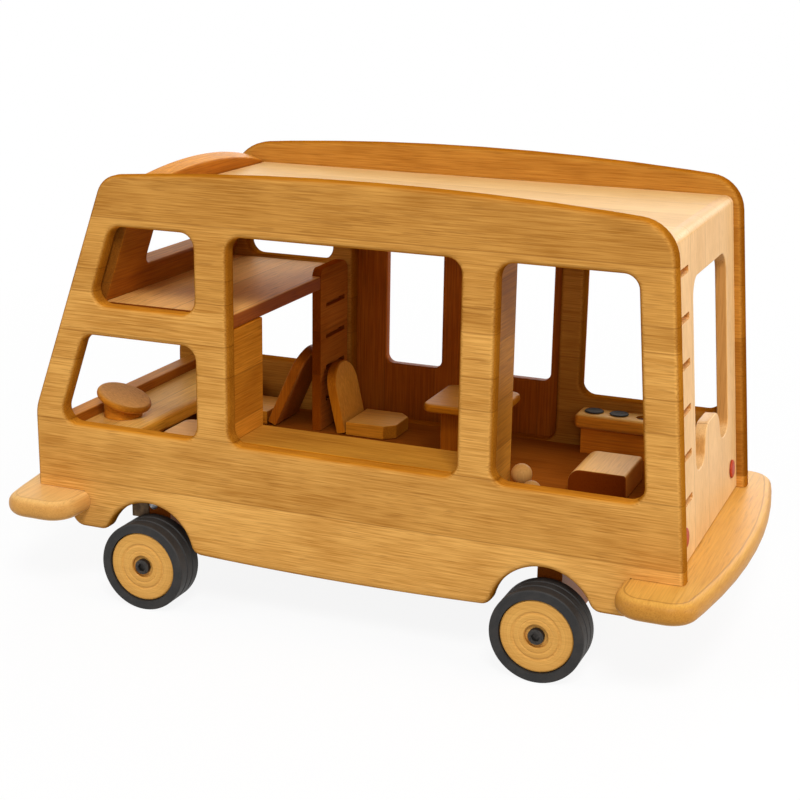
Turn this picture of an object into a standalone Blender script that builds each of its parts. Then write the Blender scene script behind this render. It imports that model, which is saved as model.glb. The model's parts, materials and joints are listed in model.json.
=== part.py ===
"""A wooden toy camper van with rubber tyres and loose furniture, built from separate boards, turned
pieces and fasteners. Metres, +Z up, front towards -X, ground at Z = 0, origin under the middle."""

import math

import bmesh
import bpy
from mathutils import Matrix, Vector

# Clearances
GAP = 0.0003
RUN_GAP = 0.0006
BORE_GAP = 0.0004

# Wheels
TYRE_R = 0.030
TYRE_W = 0.0233
TYRE_SIDE = 0.0062
TYRE_SHOULDER = 0.0009
TREAD_GROOVE = 0.0008
AXLE_X = 0.136
HUB_RECESS = 0.0008
HUB_BEVEL = 0.0018
HUB_RING_R = 0.0150
HUB_RING_W = 0.0014
HUB_RING_DEPTH = 0.0006
HUB_CUP_R = 0.0074
HUB_CUP_DEPTH = 0.0026
BOLT_R = 0.0030
BOLT_HEAD_R = 0.0051
BOLT_HEAD_H = 0.0032
BOLT_GRIP = 0.0200
SOCKET_R = 0.0029
SOCKET_DEPTH = 0.0020
WASHER_T = 0.0012
WASHER_R = 0.0090

# Side panels
BODY_W = 0.204
SIDE_T = 0.012
SIDE_ROUND = 0.0035
TOP_Z = 0.2935
TOP_BOW_R = 2.0
TOP_BOW_X = 0.010
FRONT_X = -0.2200
NOSE_Z = 0.1274
FRONT_LEAN = 0.343
REAR_X = 0.2218
REAR_LEAN = 0.0835
CORNER_FRONT_R = 0.0165
CORNER_REAR_R = 0.025
NOSE_R = 0.030
SILL_Z = 0.1198
HEAD_DROP = 0.0395
BUNK_SILL_DROP = 0.0003
CAB_HEAD_DROP = 0.0210
POST_FRONT_X = -0.0985
POST_FRONT_W = 0.0238
POST_REAR_X = 0.0790
POST_REAR_W = 0.0227
FRAME_BUNK = 0.0195
FRAME_CAB = 0.0215
FRAME_REAR = 0.0227
WINDOW_R = 0.0095
SKIRT_Z = 0.0408
SKIRT_BOW = 0.0019
FOOT_Z = 0.0480
FOOT_END_X = 0.1950
ARCH_R = 0.0327
ARCH_UP = 0.0083
ARCH_TOE_R = 0.008
FAR_POST_SHIFT = 0.0085
FAR_FRAME_CUT = 0.0060
FAR_BUNK_FRAME = 0.0315
FAR_BUNK_RISE = 0.0023
FAR_SILL_RISE = 0.0052
FAR_CORNER_R = 0.030

# Side door
DOOR_FRONT_X = -0.0730
DOOR_REAR_X = 0.0840
DOOR_HEAD_DROP = 0.0365
DOOR_T = 0.008
DOOR_STAND_OFF = 0.0020
DOOR_CENTRE_X = 0.0100
DOOR_W = 0.1780
DOOR_LOW = 0.0830
DOOR_LAP = 0.0040
DOOR_TRAVEL = 0.0880
DOOR_WINDOW_X = 0.0119
DOOR_WINDOW_W = 0.0437
DOOR_WINDOW_STEP = 0.0834
DOOR_WINDOW_LOW = 0.1287
DOOR_WINDOW_DROP = 0.0110
DOOR_WINDOW_R = 0.006
RAIL_T = 0.005
RAIL_LIP = 0.007

# Bumpers
BUMPER_TOP = 0.0737
BUMPER_T = 0.0135
BUMPER_ROUND = 0.0060
BUMPER_FRONT_IN = 0.1790
BUMPER_FRONT_OUT = 0.2415
BUMPER_REAR_IN = 0.1850
BUMPER_REAR_OUT = 0.2463
BUMPER_LAP = 0.0045
BUMPER_PROUD = 0.0326
BUMPER_BOW = 0.0148
BUMPER_CORNER_R = 0.018

# Floor, roof and end boards
FLOOR_TOP = 0.0890
BOARD_T = 0.012
ROOF_DROP = 0.0202
ROOF_EASE = 0.0012
REAR_T = 0.0075
REAR_INSET = 0.0062
REAR_TOP_ROUND = 0.0045
REAR_STILE_LEFT = 0.0538
REAR_STILE_RIGHT = 0.0272
REAR_WINDOW_DROP = 0.0318
REAR_WINDOW_R = 0.0125
REAR_NOTCH_Z = 0.1215
REAR_NOTCH_W = 0.0235
REAR_NOTCH_R = 0.0095
TONGUE_TOP_Z = 0.1440
TONGUE_HALF = 0.0200
TONGUE_R = 0.015
STEP_COUNT = 6
STEP_FIRST_Z = 0.1120
STEP_DROP = 0.02305
STEP_SLOT_H = 0.0045
STEP_IN = 0.0415
STEP_OUT = 0.0140
LIGHT_R = 0.0062
LIGHT_T = 0.0018
LIGHT_SIDE = 0.0188
LIGHT_Z = 0.0924
FRONT_INSET = 0.0120
FRONT_EDGE_UP = 0.0009
FRONT_PEAK_UP = 0.0109
BUNK_WINDOW_SIDE = 0.0400
BUNK_WINDOW_UP = 0.0175
BUNK_WINDOW_DROP = 0.0153
SCREEN_DROP = 0.0135
APRON_TOP = 0.1210

# Cab and inner walls
DASH_TOP = 0.1142
DASH_T = 0.012
DASH_REAR_X = -0.1550
DASH_ROUND = 0.004
COLUMN_R = 0.0130
COLUMN_H = 0.0094
COLUMN_X = -0.1807
COLUMN_SIDE = 0.0350
STEER_TILT = math.radians(20)
STEER_R = 0.0190
STEER_T = 0.0050
STEER_PIN_R = 0.0030
STEER_PIN_L = 0.0032
BUNK_DROP = 0.0910
BUNK_T = 0.0095
BUNK_REAR_X = -0.0770
WING_T = 0.008
WING_W = 0.0420
LADDER_T = 0.0070
LADDER_W = 0.0470
LADDER_UP = 0.0055
LADDER_COUNT = 4
LADDER_DROP = 0.0218
LADDER_STEP_Z = 0.1114
LADDER_MARGIN_IN = 0.0090
LADDER_MARGIN_OUT = 0.0060
LADDER_SLOT_H = 0.0035
REAR_WING_X = 0.0950
REAR_WING_W = 0.0470

# Furniture
SEAT_H = 0.0230
SEAT_X = -0.1210
SEAT_L = 0.0420
SEAT_SIDE = 0.0350
SEAT_W = 0.0400
COUNTER_TOP = 0.1180
COUNTER_T = 0.0100
COUNTER_W = 0.0220
COUNTER_X = 0.1040
COUNTER_L = 0.0620
PLINTH_BACK = 0.0045
BURNER_R = 0.0066
BURNER_T = 0.0015
BURNER_X = 0.0115
BURNER_STEP = 0.0178
BURNER_IN = 0.0115
SINK_R = 0.0056
SINK_DEPTH = 0.0030
BENCH_X = 0.1435
BENCH_Y = 0.0105
BENCH_L = 0.0390
BENCH_W = 0.0450
BENCH_H = 0.0160
TABLE_X = 0.0410
TABLE_SIDE = 0.0545
TABLE_L = 0.0540
TABLE_W = 0.0570
TABLE_H = 0.0410
TABLE_T = 0.0060
LEG_L = 0.0380
LEG_W = 0.0240
CHAIR_SEAT_L = 0.0360
CHAIR_W = 0.0380
CHAIR_SEAT_T = 0.0100
CHAIR_BACK_T = 0.0075
CHAIR_CHAMFER = 0.0076
CHAIR_CORNER_R = 0.002
CAB_CHAIR_X = -0.1185
CAB_CHAIR_SIDE = 0.0310
CAB_CHAIR_LEAN = math.radians(24)
CAB_CHAIR_BACK_H = 0.0610
VAN_CHAIR_X = -0.0560
VAN_CHAIR_SIDE = 0.0300
VAN_CHAIR_LEAN = math.radians(13)
VAN_CHAIR_BACK_H = 0.0490
FIGURE_H = 0.0255
FIGURE_HEAD_R = 0.0068
FIGURE_BODY_R = 0.0066
FIGURE_NECK_R = 0.0044
FIGURE_ONE_X = 0.1025
FIGURE_ONE_SIDE = 0.0470
FIGURE_TWO_X = 0.1160
FIGURE_TWO_SIDE = 0.0250
FIGURE_TWO_SCALE = 0.90

# Chassis
BLOCK_HALF_L = 0.0080
BLOCK_CLEAR = 0.0048
BLOCK_LOW = 0.0200
PLATE_T = 0.0018
PLATE_H = 0.0220
PLATE_W = 0.0220
PLATE_OUT = 0.0130
SCREW_HEAD_R = 0.0030
SCREW_HEAD_H = 0.0012
SCREW_Z = 0.0650
SCREW_IN = 0.0036

# Facets
ARC_STEPS = 3
TURN_STEPS = 28
SMALL_STEPS = 12
FINE_EDGE = 0.0022

INNER_HALF = BODY_W / 2 - SIDE_T
FIT_HALF = INNER_HALF - GAP
BLOCK_HALF_W = INNER_HALF - BLOCK_CLEAR
BUMPER_HALF_W = BODY_W / 2 + BUMPER_PROUD
FLOOR_LOW = FLOOR_TOP - BOARD_T
HEAD_Z = TOP_Z - HEAD_DROP
ROOF_TOP = TOP_Z - ROOF_DROP
ROOF_LOW = ROOF_TOP - BOARD_T
BUNK_TOP = TOP_Z - BUNK_DROP
BUNK_LOW = BUNK_TOP - BUNK_T
BUNK_SILL_Z = BUNK_TOP - BUNK_SILL_DROP
CAB_HEAD_Z = BUNK_TOP - CAB_HEAD_DROP
SCREEN_TOP = BUNK_TOP - SCREEN_DROP
BUNK_WINDOW_LOW = BUNK_TOP + BUNK_WINDOW_UP
BUNK_WINDOW_HIGH = ROOF_TOP - BUNK_WINDOW_DROP
BUNK_WINDOW_HALF = INNER_HALF - BUNK_WINDOW_SIDE
DOOR_HEAD_Z = TOP_Z - DOOR_HEAD_DROP
DOOR_HIGH = DOOR_HEAD_Z + DOOR_LAP
DOOR_WINDOW_HIGH = DOOR_HIGH - DOOR_WINDOW_DROP
REAR_WINDOW_TOP = ROOF_TOP - REAR_WINDOW_DROP
REAR_WINDOW_Y = (REAR_STILE_LEFT - REAR_STILE_RIGHT) / 2
REAR_WINDOW_HALF = INNER_HALF - (REAR_STILE_LEFT + REAR_STILE_RIGHT) / 2
STEP_PITCH = (ROOF_TOP - STEP_DROP - STEP_FIRST_Z) / (STEP_COUNT - 1)
LADDER_PITCH = (BUNK_TOP - LADDER_DROP - LADDER_STEP_Z) / (LADDER_COUNT - 1)
SEAT_Y = SEAT_SIDE - INNER_HALF
COLUMN_Y = COLUMN_SIDE - INNER_HALF
SLOT_HIGH = BUMPER_TOP + GAP
SLOT_LOW = BUMPER_TOP - BUMPER_T - GAP
FRONT_ANGLE = math.atan(FRONT_LEAN)
REAR_ANGLE = math.atan(REAR_LEAN)
SLOT_MIDDLE = (SLOT_HIGH + SLOT_LOW) / 2
BUMPER_ENDS = (
    ("front", -1, BUMPER_FRONT_IN, BUMPER_FRONT_OUT),
    ("rear", 1, BUMPER_REAR_IN, BUMPER_REAR_OUT),
)
MIDDLE_X = (BUMPER_REAR_OUT - BUMPER_FRONT_OUT) / 2


def front_edge_x(z):
    """X of the side panel's sloping front edge at height z."""
    return FRONT_X + FRONT_LEAN * (z - NOSE_Z)


def rear_edge_x(z):
    """X of the side panel's rear edge at height z."""
    return REAR_X - REAR_LEAN * (z - BUMPER_TOP)


def top_edge_z(x):
    """Height of the side panel's gently bowed top edge."""
    return TOP_Z - TOP_BOW_R + math.sqrt(TOP_BOW_R**2 - (x - TOP_BOW_X) ** 2)


def front_inner_x(z):
    """X of the sloping front panel's inner face at height z."""
    return front_edge_x(z) + FRONT_INSET + BOARD_T / math.cos(FRONT_ANGLE)


def rear_face_x(z):
    """X of the rear panel's outer face at height z."""
    return rear_edge_x(z) - REAR_INSET


def rear_inner_x(z):
    """X of the rear panel's inner face at height z."""
    return rear_face_x(z) - REAR_T / math.cos(REAR_ANGLE)


def clear_scene():
    for obj in list(bpy.data.objects):
        bpy.data.objects.remove(obj, do_unlink=True)


def new_collection(name):
    made = bpy.data.collections.new(name)
    bpy.context.scene.collection.children.link(made)
    return made


def material(name, colour, roughness, metallic=0.0):
    made = bpy.data.materials.new(name)
    made.use_nodes = True
    shader = made.node_tree.nodes["Principled BSDF"]
    shader.inputs["Base Color"].default_value = (*colour, 1.0)
    shader.inputs["Roughness"].default_value = roughness
    shader.inputs["Metallic"].default_value = metallic
    return made


def rounded(corners):
    """The closed outline through (x, y, radius) corners, each rounded by its own radius."""
    points = []
    count = len(corners)
    for index in range(count):
        here = Vector(corners[index][:2])
        before = Vector(corners[index - 1][:2])
        after = Vector(corners[(index + 1) % count][:2])
        radius = corners[index][2]
        if radius <= 0:
            points.append(here)
            continue
        to_before = (before - here).normalized()
        to_after = (after - here).normalized()
        opening = to_before.angle(to_after)
        reach = radius / math.tan(opening / 2)
        centre = here + (to_before + to_after).normalized() * (radius / math.sin(opening / 2))
        start = here + to_before * reach - centre
        turn = math.pi - opening
        side = 1.0 if to_before.cross(to_after) < 0 else -1.0
        steps = max(1, math.ceil(turn / (math.pi / 2) * ARC_STEPS))
        for step in range(steps + 1):
            points.append(centre + Matrix.Rotation(side * turn * step / steps, 2) @ start)
    return points


def arc(centre, radius, first, last, steps):
    """Points on an arc from angle first to angle last."""
    found = []
    for step in range(steps + 1):
        angle = first + (last - first) * step / steps
        found.append(Vector((centre[0] + radius * math.cos(angle), centre[1] + radius * math.sin(angle))))
    return found


def wound(points, left):
    """The outline turned anticlockwise when left is set, else clockwise."""
    area = sum(points[i - 1].cross(points[i]) for i in range(len(points)))
    return points if (area > 0) == left else points[::-1]


def solid(name, mesh, coat, pivot=(0, 0, 0), smooth=False, home=None):
    """A named object from a mesh, with its origin at the pivot, moved so that X = 0 is the van's middle."""
    mesh.name = name
    mesh.transform(Matrix.Translation(-Vector(pivot)))
    obj = bpy.data.objects.new(name, mesh)
    obj.location = Vector(pivot) - Vector((MIDDLE_X, 0, 0))
    mesh.materials.clear()
    if coat is not None:
        mesh.materials.append(coat)
    for face in mesh.polygons:
        face.use_smooth = smooth
    (home or PARTS).objects.link(obj)
    return obj


def baked(obj):
    """The evaluated mesh of a helper object, welded and facing out. The helper is removed."""
    bpy.context.view_layer.update()
    graph = bpy.context.evaluated_depsgraph_get()
    mesh = bpy.data.meshes.new_from_object(obj.evaluated_get(graph))
    bpy.data.objects.remove(obj, do_unlink=True)
    work = bmesh.new()
    work.from_mesh(mesh)
    bmesh.ops.remove_doubles(work, verts=work.verts, dist=1e-6)
    bmesh.ops.recalc_face_normals(work, faces=work.faces)
    work.to_mesh(mesh)
    work.free()
    return mesh


def slab(outline, holes, thick, edge, frame):
    """A board mesh: the outline with holes, given thickness and rounded edges, laid into a frame."""
    curve = bpy.data.curves.new("board", "CURVE")
    curve.dimensions = "2D"
    curve.fill_mode = "BOTH"
    for number, points in enumerate([outline] + list(holes)):
        points = wound(points, number == 0)
        spline = curve.splines.new("POLY")
        spline.points.add(len(points) - 1)
        for target, point in zip(spline.points, points):
            target.co = (point[0], point[1], 0.0, 1.0)
        spline.use_cyclic_u = True
    curve.extrude = thick / 2 - edge
    curve.bevel_depth = edge
    curve.bevel_resolution = 1 if edge > FINE_EDGE else 0
    curve.offset = -edge
    helper = bpy.data.objects.new("board", curve)
    bpy.context.scene.collection.objects.link(helper)
    mesh = baked(helper)
    mesh.transform(frame)
    return mesh


def turned(profile, steps, frame, ring=False):
    """A turned mesh: the (radius, height) profile spun about the frame's Z axis."""
    mesh = bpy.data.meshes.new("turned")
    count = len(profile)
    edges = [(i, i + 1) for i in range(count - 1)]
    if ring:
        edges.append((count - 1, 0))
    mesh.from_pydata([(radius, 0.0, height) for radius, height in profile], edges, [])
    helper = bpy.data.objects.new("turned", mesh)
    bpy.context.scene.collection.objects.link(helper)
    screw = helper.modifiers.new("Screw", "SCREW")
    screw.axis = "Z"
    screw.steps = steps
    screw.render_steps = steps
    screw.use_merge_vertices = True
    screw.merge_threshold = 0.00001
    made = baked(helper)
    made.transform(frame)
    return made


def block(low, high):
    """A box mesh between two corners."""
    work = bmesh.new()
    bmesh.ops.create_cube(work, size=1.0)
    size = Vector(high) - Vector(low)
    middle = (Vector(high) + Vector(low)) / 2
    bmesh.ops.scale(work, vec=size, verts=work.verts)
    bmesh.ops.translate(work, vec=middle, verts=work.verts)
    mesh = bpy.data.meshes.new("block")
    work.to_mesh(mesh)
    work.free()
    return mesh


def cut(obj, mesh, name):
    """Cuts the mesh out of the object."""
    cutter = solid(name, mesh, None, home=CUTTERS)
    cutter.hide_render = True
    cutter.display_type = "WIRE"
    boolean = obj.modifiers.new(name, "BOOLEAN")
    boolean.operation = "DIFFERENCE"
    boolean.solver = "MANIFOLD"
    boolean.object = cutter


def standing(y):
    """The frame of a board that stands along X: its own X is X, its own Y is Z, centred on y."""
    return Matrix.Translation((0, y, 0)) @ Matrix.Rotation(math.pi / 2, 4, "X")


def crossing(x, z, lean):
    """The frame of a board across the van: its own X is Y, its own Y climbs, leaning by an angle."""
    turn = Matrix(((0, 0, 1, 0), (1, 0, 0, 0), (0, 1, 0, 0), (0, 0, 0, 1)))
    return Matrix.Translation((x, 0, z)) @ Matrix.Rotation(lean, 4, "Y") @ turn


def lying(z):
    """The frame of a board that lies flat, centred on height z."""
    return Matrix.Translation((0, 0, z))


def along(origin, direction):
    """The frame of a turned piece whose axis leaves the origin in the given direction."""
    turn = Vector((0, 0, 1)).rotation_difference(Vector(direction)).to_matrix().to_4x4()
    return Matrix.Translation(origin) @ turn


clear_scene()
PARTS = new_collection("toy_camper_van")
CUTTERS = new_collection("cutters")

SIDE_WOOD = material("side_wood", (0.66, 0.38, 0.13), 0.42)
ROOF_WOOD = material("roof_wood", (0.72, 0.49, 0.28), 0.45)
END_WOOD = material("end_wood", (0.72, 0.46, 0.24), 0.45)
BUMPER_WOOD = material("bumper_wood", (0.64, 0.36, 0.12), 0.42)
FLOOR_WOOD = material("floor_wood", (0.50, 0.26, 0.09), 0.5)
WALL_WOOD = material("wall_wood", (0.52, 0.27, 0.09), 0.5)
DOOR_WOOD = material("door_wood", (0.50, 0.25, 0.09), 0.5)
HUB_WOOD = material("hub_wood", (0.66, 0.40, 0.16), 0.42)
FURNITURE_WOOD = material("furniture_wood", (0.58, 0.33, 0.12), 0.48)
FIGURE_WOOD = material("figure_wood", (0.70, 0.48, 0.25), 0.45)
RUBBER = material("black_rubber", (0.035, 0.035, 0.037), 0.8)
BLACK_STEEL = material("black_steel", (0.03, 0.03, 0.032), 0.4, 0.9)
ZINC_STEEL = material("zinc_steel", (0.55, 0.56, 0.58), 0.4, 1.0)
RED_PAINT = material("red_paint", (0.62, 0.06, 0.03), 0.35)
BLACK_PAINT = material("black_paint", (0.02, 0.02, 0.02), 0.5)
SINK_PAINT = material("brown_paint", (0.20, 0.10, 0.05), 0.5)


def arch(axle, low_before, low_after):
    """A wheel arch over the axle, with a rounded toe where it meets the bottom edge on each side."""
    middle_z = TYRE_R + ARCH_UP
    reach = ARCH_R + ARCH_TOE_R
    before = math.asin((low_before + ARCH_TOE_R - middle_z) / reach)
    after = math.asin((low_after + ARCH_TOE_R - middle_z) / reach)
    toe = (axle - reach * math.cos(before), middle_z + reach * math.sin(before))
    run = arc(toe, ARCH_TOE_R, -math.pi / 2, -before, ARC_STEPS)
    run += arc((axle, middle_z), ARCH_R, math.pi - before, after, 4 * ARC_STEPS)[1:-1]
    toe = (axle + reach * math.cos(after), middle_z + reach * math.sin(after))
    run += arc(toe, ARCH_TOE_R, math.pi + after, 1.5 * math.pi, ARC_STEPS)
    return run


def side_outline(corner_front_r):
    """The side panel's outline in X and Z, with wheel arches and a short foot under each bumper."""
    foot_r = (SLOT_LOW - FOOT_Z) * 0.8
    rear_top_x = rear_edge_x(TOP_Z)
    front_top_x = front_edge_x(TOP_Z)
    corners = [(rear_edge_x(SLOT_MIDDLE), SLOT_MIDDLE, 0.0)]
    corners.append((rear_top_x, top_edge_z(rear_top_x), CORNER_REAR_R))
    steps = 10
    for step in range(1, steps):
        x = rear_top_x + (front_top_x - rear_top_x) * step / steps
        corners.append((x, top_edge_z(x), 0.0))
    corners.append((front_top_x, top_edge_z(front_top_x), corner_front_r))
    corners.append((FRONT_X, NOSE_Z, NOSE_R))
    corners.append((FRONT_X, SLOT_MIDDLE, 0.0))
    corners.append((-FOOT_END_X, SLOT_MIDDLE, 0.0))
    corners.append((-FOOT_END_X, FOOT_Z, foot_r))
    corners.append((-AXLE_X - ARCH_R, FOOT_Z, 0.0))
    points = rounded(corners)[:-1]
    front_arch = arch(-AXLE_X, FOOT_Z, SKIRT_Z)
    rear_arch = arch(AXLE_X, SKIRT_Z, FOOT_Z)
    points += front_arch
    first = front_arch[-1].x
    last = rear_arch[0].x
    for step in range(1, steps):
        share = step / steps
        drop = SKIRT_BOW * 4 * share * (1 - share)
        points.append(Vector((first + (last - first) * share, SKIRT_Z - drop)))
    points += rear_arch
    tail = [(AXLE_X + ARCH_R, FOOT_Z, 0.0)]
    tail.append((FOOT_END_X, FOOT_Z, foot_r))
    tail.append((FOOT_END_X, SLOT_MIDDLE, 0.0))
    points += rounded(tail)[1:]
    return points


def window(low, high, front, rear, radius=WINDOW_R):
    """A window outline. Front and rear give X at a height."""
    corners = [(front(low), low, radius)]
    corners.append((rear(low), low, radius))
    corners.append((rear(high), high, radius))
    corners.append((front(high), high, radius))
    return rounded(corners)


def side_windows(cab_rear, rear_frame, bunk_frame, bunk_sill, sill):
    """The two cab windows and the rear window, which both side panels have."""
    last_front = POST_REAR_X + POST_REAR_W
    bunk = window(bunk_sill, HEAD_Z, lambda z: front_edge_x(z) + bunk_frame, lambda z: cab_rear)
    cab = window(sill, CAB_HEAD_Z, lambda z: front_edge_x(z) + FRAME_CAB, lambda z: cab_rear)
    last = window(sill, HEAD_Z, lambda z: last_front, lambda z: rear_edge_x(z) - rear_frame)
    return [bunk, cab, last]


def bumper_slots(panel, side, name):
    """Cuts a slot for a bumper into each end of a side panel."""
    near = INNER_HALF - SIDE_T
    far = BODY_W / 2 + SIDE_T
    for end_name, end, inner, outer in BUMPER_ENDS:
        first = end * (inner + BUMPER_LAP)
        last = end * (outer + SIDE_T)
        low = (min(first, last), min(side * near, side * far), SLOT_LOW)
        high = (max(first, last), max(side * near, side * far), SLOT_HIGH)
        cut(panel, block(low, high), f"{name}_{end_name}_slot")


# Side panels: the left one has a wide middle window, the right one an opening for the sliding door
side_y = BODY_W / 2 - SIDE_T / 2
middle_front = POST_FRONT_X + POST_FRONT_W
middle_window = window(SILL_Z, HEAD_Z, lambda z: middle_front, lambda z: POST_REAR_X)
left_windows = side_windows(POST_FRONT_X, FRAME_REAR, FRAME_BUNK, BUNK_SILL_Z, SILL_Z) + [middle_window]
mesh = slab(side_outline(CORNER_FRONT_R), left_windows, SIDE_T, SIDE_ROUND, standing(-side_y))
bumper_slots(solid("left_side_panel", mesh, SIDE_WOOD), -1, "left")
doorway = window(FLOOR_TOP, DOOR_HEAD_Z, lambda z: DOOR_FRONT_X, lambda z: DOOR_REAR_X)
far_post = POST_FRONT_X + FAR_POST_SHIFT
far_frame = FRAME_REAR - FAR_FRAME_CUT
far_bunk_sill = BUNK_SILL_Z + FAR_BUNK_RISE
far_sill = SILL_Z + FAR_SILL_RISE
right_windows = side_windows(far_post, far_frame, FAR_BUNK_FRAME, far_bunk_sill, far_sill) + [doorway]
mesh = slab(side_outline(FAR_CORNER_R), right_windows, SIDE_T, SIDE_ROUND, standing(side_y))
bumper_slots(solid("right_side_panel", mesh, SIDE_WOOD), 1, "right")

# Bumpers: planks with a bowed outer edge, cross-lapped with the side panels
bow_r = (BUMPER_HALF_W**2 + BUMPER_BOW**2) / (2 * BUMPER_BOW)
for end_name, end, inner, outer in BUMPER_ENDS:
    corners = [(end * inner, -BUMPER_HALF_W, BUMPER_CORNER_R)]
    corners.append((end * inner, BUMPER_HALF_W, BUMPER_CORNER_R))
    steps = 10
    for step in range(steps + 1):
        y = BUMPER_HALF_W * (1 - 2 * step / steps)
        x = outer - bow_r + math.sqrt(bow_r**2 - y**2)
        corners.append((end * x, y, BUMPER_CORNER_R if step in (0, steps) else 0.0))
    mesh = slab(rounded(corners), [], BUMPER_T, BUMPER_ROUND, lying(BUMPER_TOP - BUMPER_T / 2))
    bumper = solid(f"{end_name}_bumper", mesh, BUMPER_WOOD)
    for side_name, side in (("left", -1), ("right", 1)):
        first = end * (inner - BUMPER_LAP)
        last = end * (inner + BUMPER_LAP + GAP)
        near = side * (INNER_HALF - GAP)
        far = side * (BODY_W / 2 + GAP)
        low = (min(first, last), min(near, far), SLOT_LOW - BUMPER_T)
        high = (max(first, last), max(near, far), SLOT_HIGH + BUMPER_T)
        cut(bumper, block(low, high), f"{end_name}_bumper_{side_name}_notch")


def across(corners, half_width, coat, name):
    """A piece with one X and Z section all the way across the van."""
    mesh = slab(rounded(corners), [], 2 * half_width, 0.0, standing(0))
    return solid(name, mesh, coat)


# Rear panel, leaning with the side panels' rear edges, with a bell-shaped tongue under its window
rear_foot_z = SLOT_HIGH + REAR_T * math.sin(REAR_ANGLE)
rear_cos = math.cos(REAR_ANGLE)


def rear_v(z):
    """Distance up the rear panel's face from its foot."""
    return (z - rear_foot_z) / rear_cos


def rear_point(y, z, off):
    """A point off the rear panel's outer face, measured along its normal."""
    normal = Vector((rear_cos, 0, math.sin(REAR_ANGLE)))
    return Vector((rear_face_x(z), y, z)) + normal * off


def rear_window():
    """The rear window, whose sill dips on both sides of a tongue."""
    low = rear_v(REAR_NOTCH_Z)
    peak = rear_v(TONGUE_TOP_Z)
    high = rear_v(REAR_WINDOW_TOP)
    middle = REAR_WINDOW_Y
    half = REAR_WINDOW_HALF
    notch = half - REAR_NOTCH_W
    corners = [(middle - half, high, REAR_WINDOW_R)]
    corners.append((middle - half, low, REAR_NOTCH_R))
    corners.append((middle - notch, low, REAR_NOTCH_R))
    corners.append((middle - TONGUE_HALF, peak, TONGUE_R))
    corners.append((middle + TONGUE_HALF, peak, TONGUE_R))
    corners.append((middle + notch, low, REAR_NOTCH_R))
    corners.append((middle + half, low, REAR_NOTCH_R))
    corners.append((middle + half, high, REAR_WINDOW_R))
    return rounded(corners)


def slot(first, last, middle, height):
    """A thin slot outline between two values."""
    low = middle - height / 2
    high = middle + height / 2
    return rounded([(first, low, 0.0), (last, low, 0.0), (last, high, 0.0), (first, high, 0.0)])


def rounded_top(mesh, radius, high):
    """Rounds the outer top edge of the rear panel."""
    work = bmesh.new()
    work.from_mesh(mesh)
    chosen = []
    for edge in work.edges:
        first, second = edge.verts
        flat = abs(first.co.z - second.co.z) < 1e-6 and abs(first.co.x - second.co.x) < 1e-6
        if flat and first.co.z > high and len(edge.link_faces) == 2 and edge.calc_face_angle() > 1:
            chosen.append(edge)
    outer = max(edge.verts[0].co.x for edge in chosen)
    chosen = [edge for edge in chosen if edge.verts[0].co.x > outer - 1e-5]
    bmesh.ops.bevel(work, geom=chosen, offset=radius, segments=ARC_STEPS, profile=0.5, affect="EDGES")
    work.to_mesh(mesh)
    work.free()


rear_high = rear_v(ROOF_TOP)
rear_corners = [(-FIT_HALF, 0.0, 0.0), (FIT_HALF, 0.0, 0.0)]
rear_corners += [(FIT_HALF, rear_high, 0.0), (-FIT_HALF, rear_high, 0.0)]
rear_holes = [rear_window()]
for number in range(STEP_COUNT):
    middle = rear_v(STEP_FIRST_Z + STEP_PITCH * number)
    rear_holes.append(slot(STEP_OUT - INNER_HALF, STEP_IN - INNER_HALF, middle, STEP_SLOT_H))
rear_middle = rear_point(0, rear_foot_z, -REAR_T / 2)
rear_frame = crossing(rear_middle.x, rear_middle.z, -REAR_ANGLE)
mesh = slab(rounded(rear_corners), rear_holes, REAR_T, 0.0, rear_frame)
rounded_top(mesh, REAR_TOP_ROUND, ROOF_TOP - REAR_T / 4)
solid("rear_panel", mesh, END_WOOD)
for side_name, side in (("left", -1), ("right", 1)):
    base = rear_point(side * (INNER_HALF - LIGHT_SIDE), LIGHT_Z, GAP)
    profile = [(0, LIGHT_T), (LIGHT_R * 0.7, LIGHT_T * 0.92), (LIGHT_R * 0.95, LIGHT_T * 0.6)]
    profile += [(LIGHT_R, LIGHT_T * 0.3), (LIGHT_R, 0), (0, 0)]
    frame = along(base, (rear_cos, 0, math.sin(REAR_ANGLE)))
    solid(f"{side_name}_tail_light", turned(profile, SMALL_STEPS, frame), RED_PAINT, smooth=True)

# Front panel over the open windscreen, sloping with the side panels, and the upright apron under it
front_cos = math.cos(FRONT_ANGLE)
front_foot_z = SCREEN_TOP


def front_v(z):
    """Distance up the front panel's inner face from its foot."""
    return (z - front_foot_z) / front_cos


edge_v = front_v(ROOF_TOP + FRONT_EDGE_UP)
rise = front_v(ROOF_TOP + FRONT_PEAK_UP) - edge_v
front_bow_r = (FIT_HALF**2 + rise**2) / (2 * rise)
front_corners = [(-FIT_HALF, 0.0, 0.0), (FIT_HALF, 0.0, 0.0)]
for step in range(11):
    y = FIT_HALF * (1 - step / 5)
    front_corners.append((y, edge_v + rise - front_bow_r + math.sqrt(front_bow_r**2 - y**2), 0.0))
low = front_v(BUNK_WINDOW_LOW)
high = front_v(BUNK_WINDOW_HIGH)
bunk_light = window(low, high, lambda v: -BUNK_WINDOW_HALF, lambda v: BUNK_WINDOW_HALF)
front_x = front_inner_x(front_foot_z) - BOARD_T / 2 * front_cos
front_z = front_foot_z + BOARD_T / 2 * math.sin(FRONT_ANGLE)
front_frame = crossing(front_x, front_z, FRONT_ANGLE)
mesh = slab(rounded(front_corners), [bunk_light], BOARD_T, 0.001, front_frame)
solid("front_panel", mesh, END_WOOD)
apron_in = front_inner_x(APRON_TOP)
apron_out = apron_in - BOARD_T
solid("front_apron", block((apron_out, -FIT_HALF, SLOT_HIGH), (apron_in, FIT_HALF, APRON_TOP)), END_WOOD)

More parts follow.
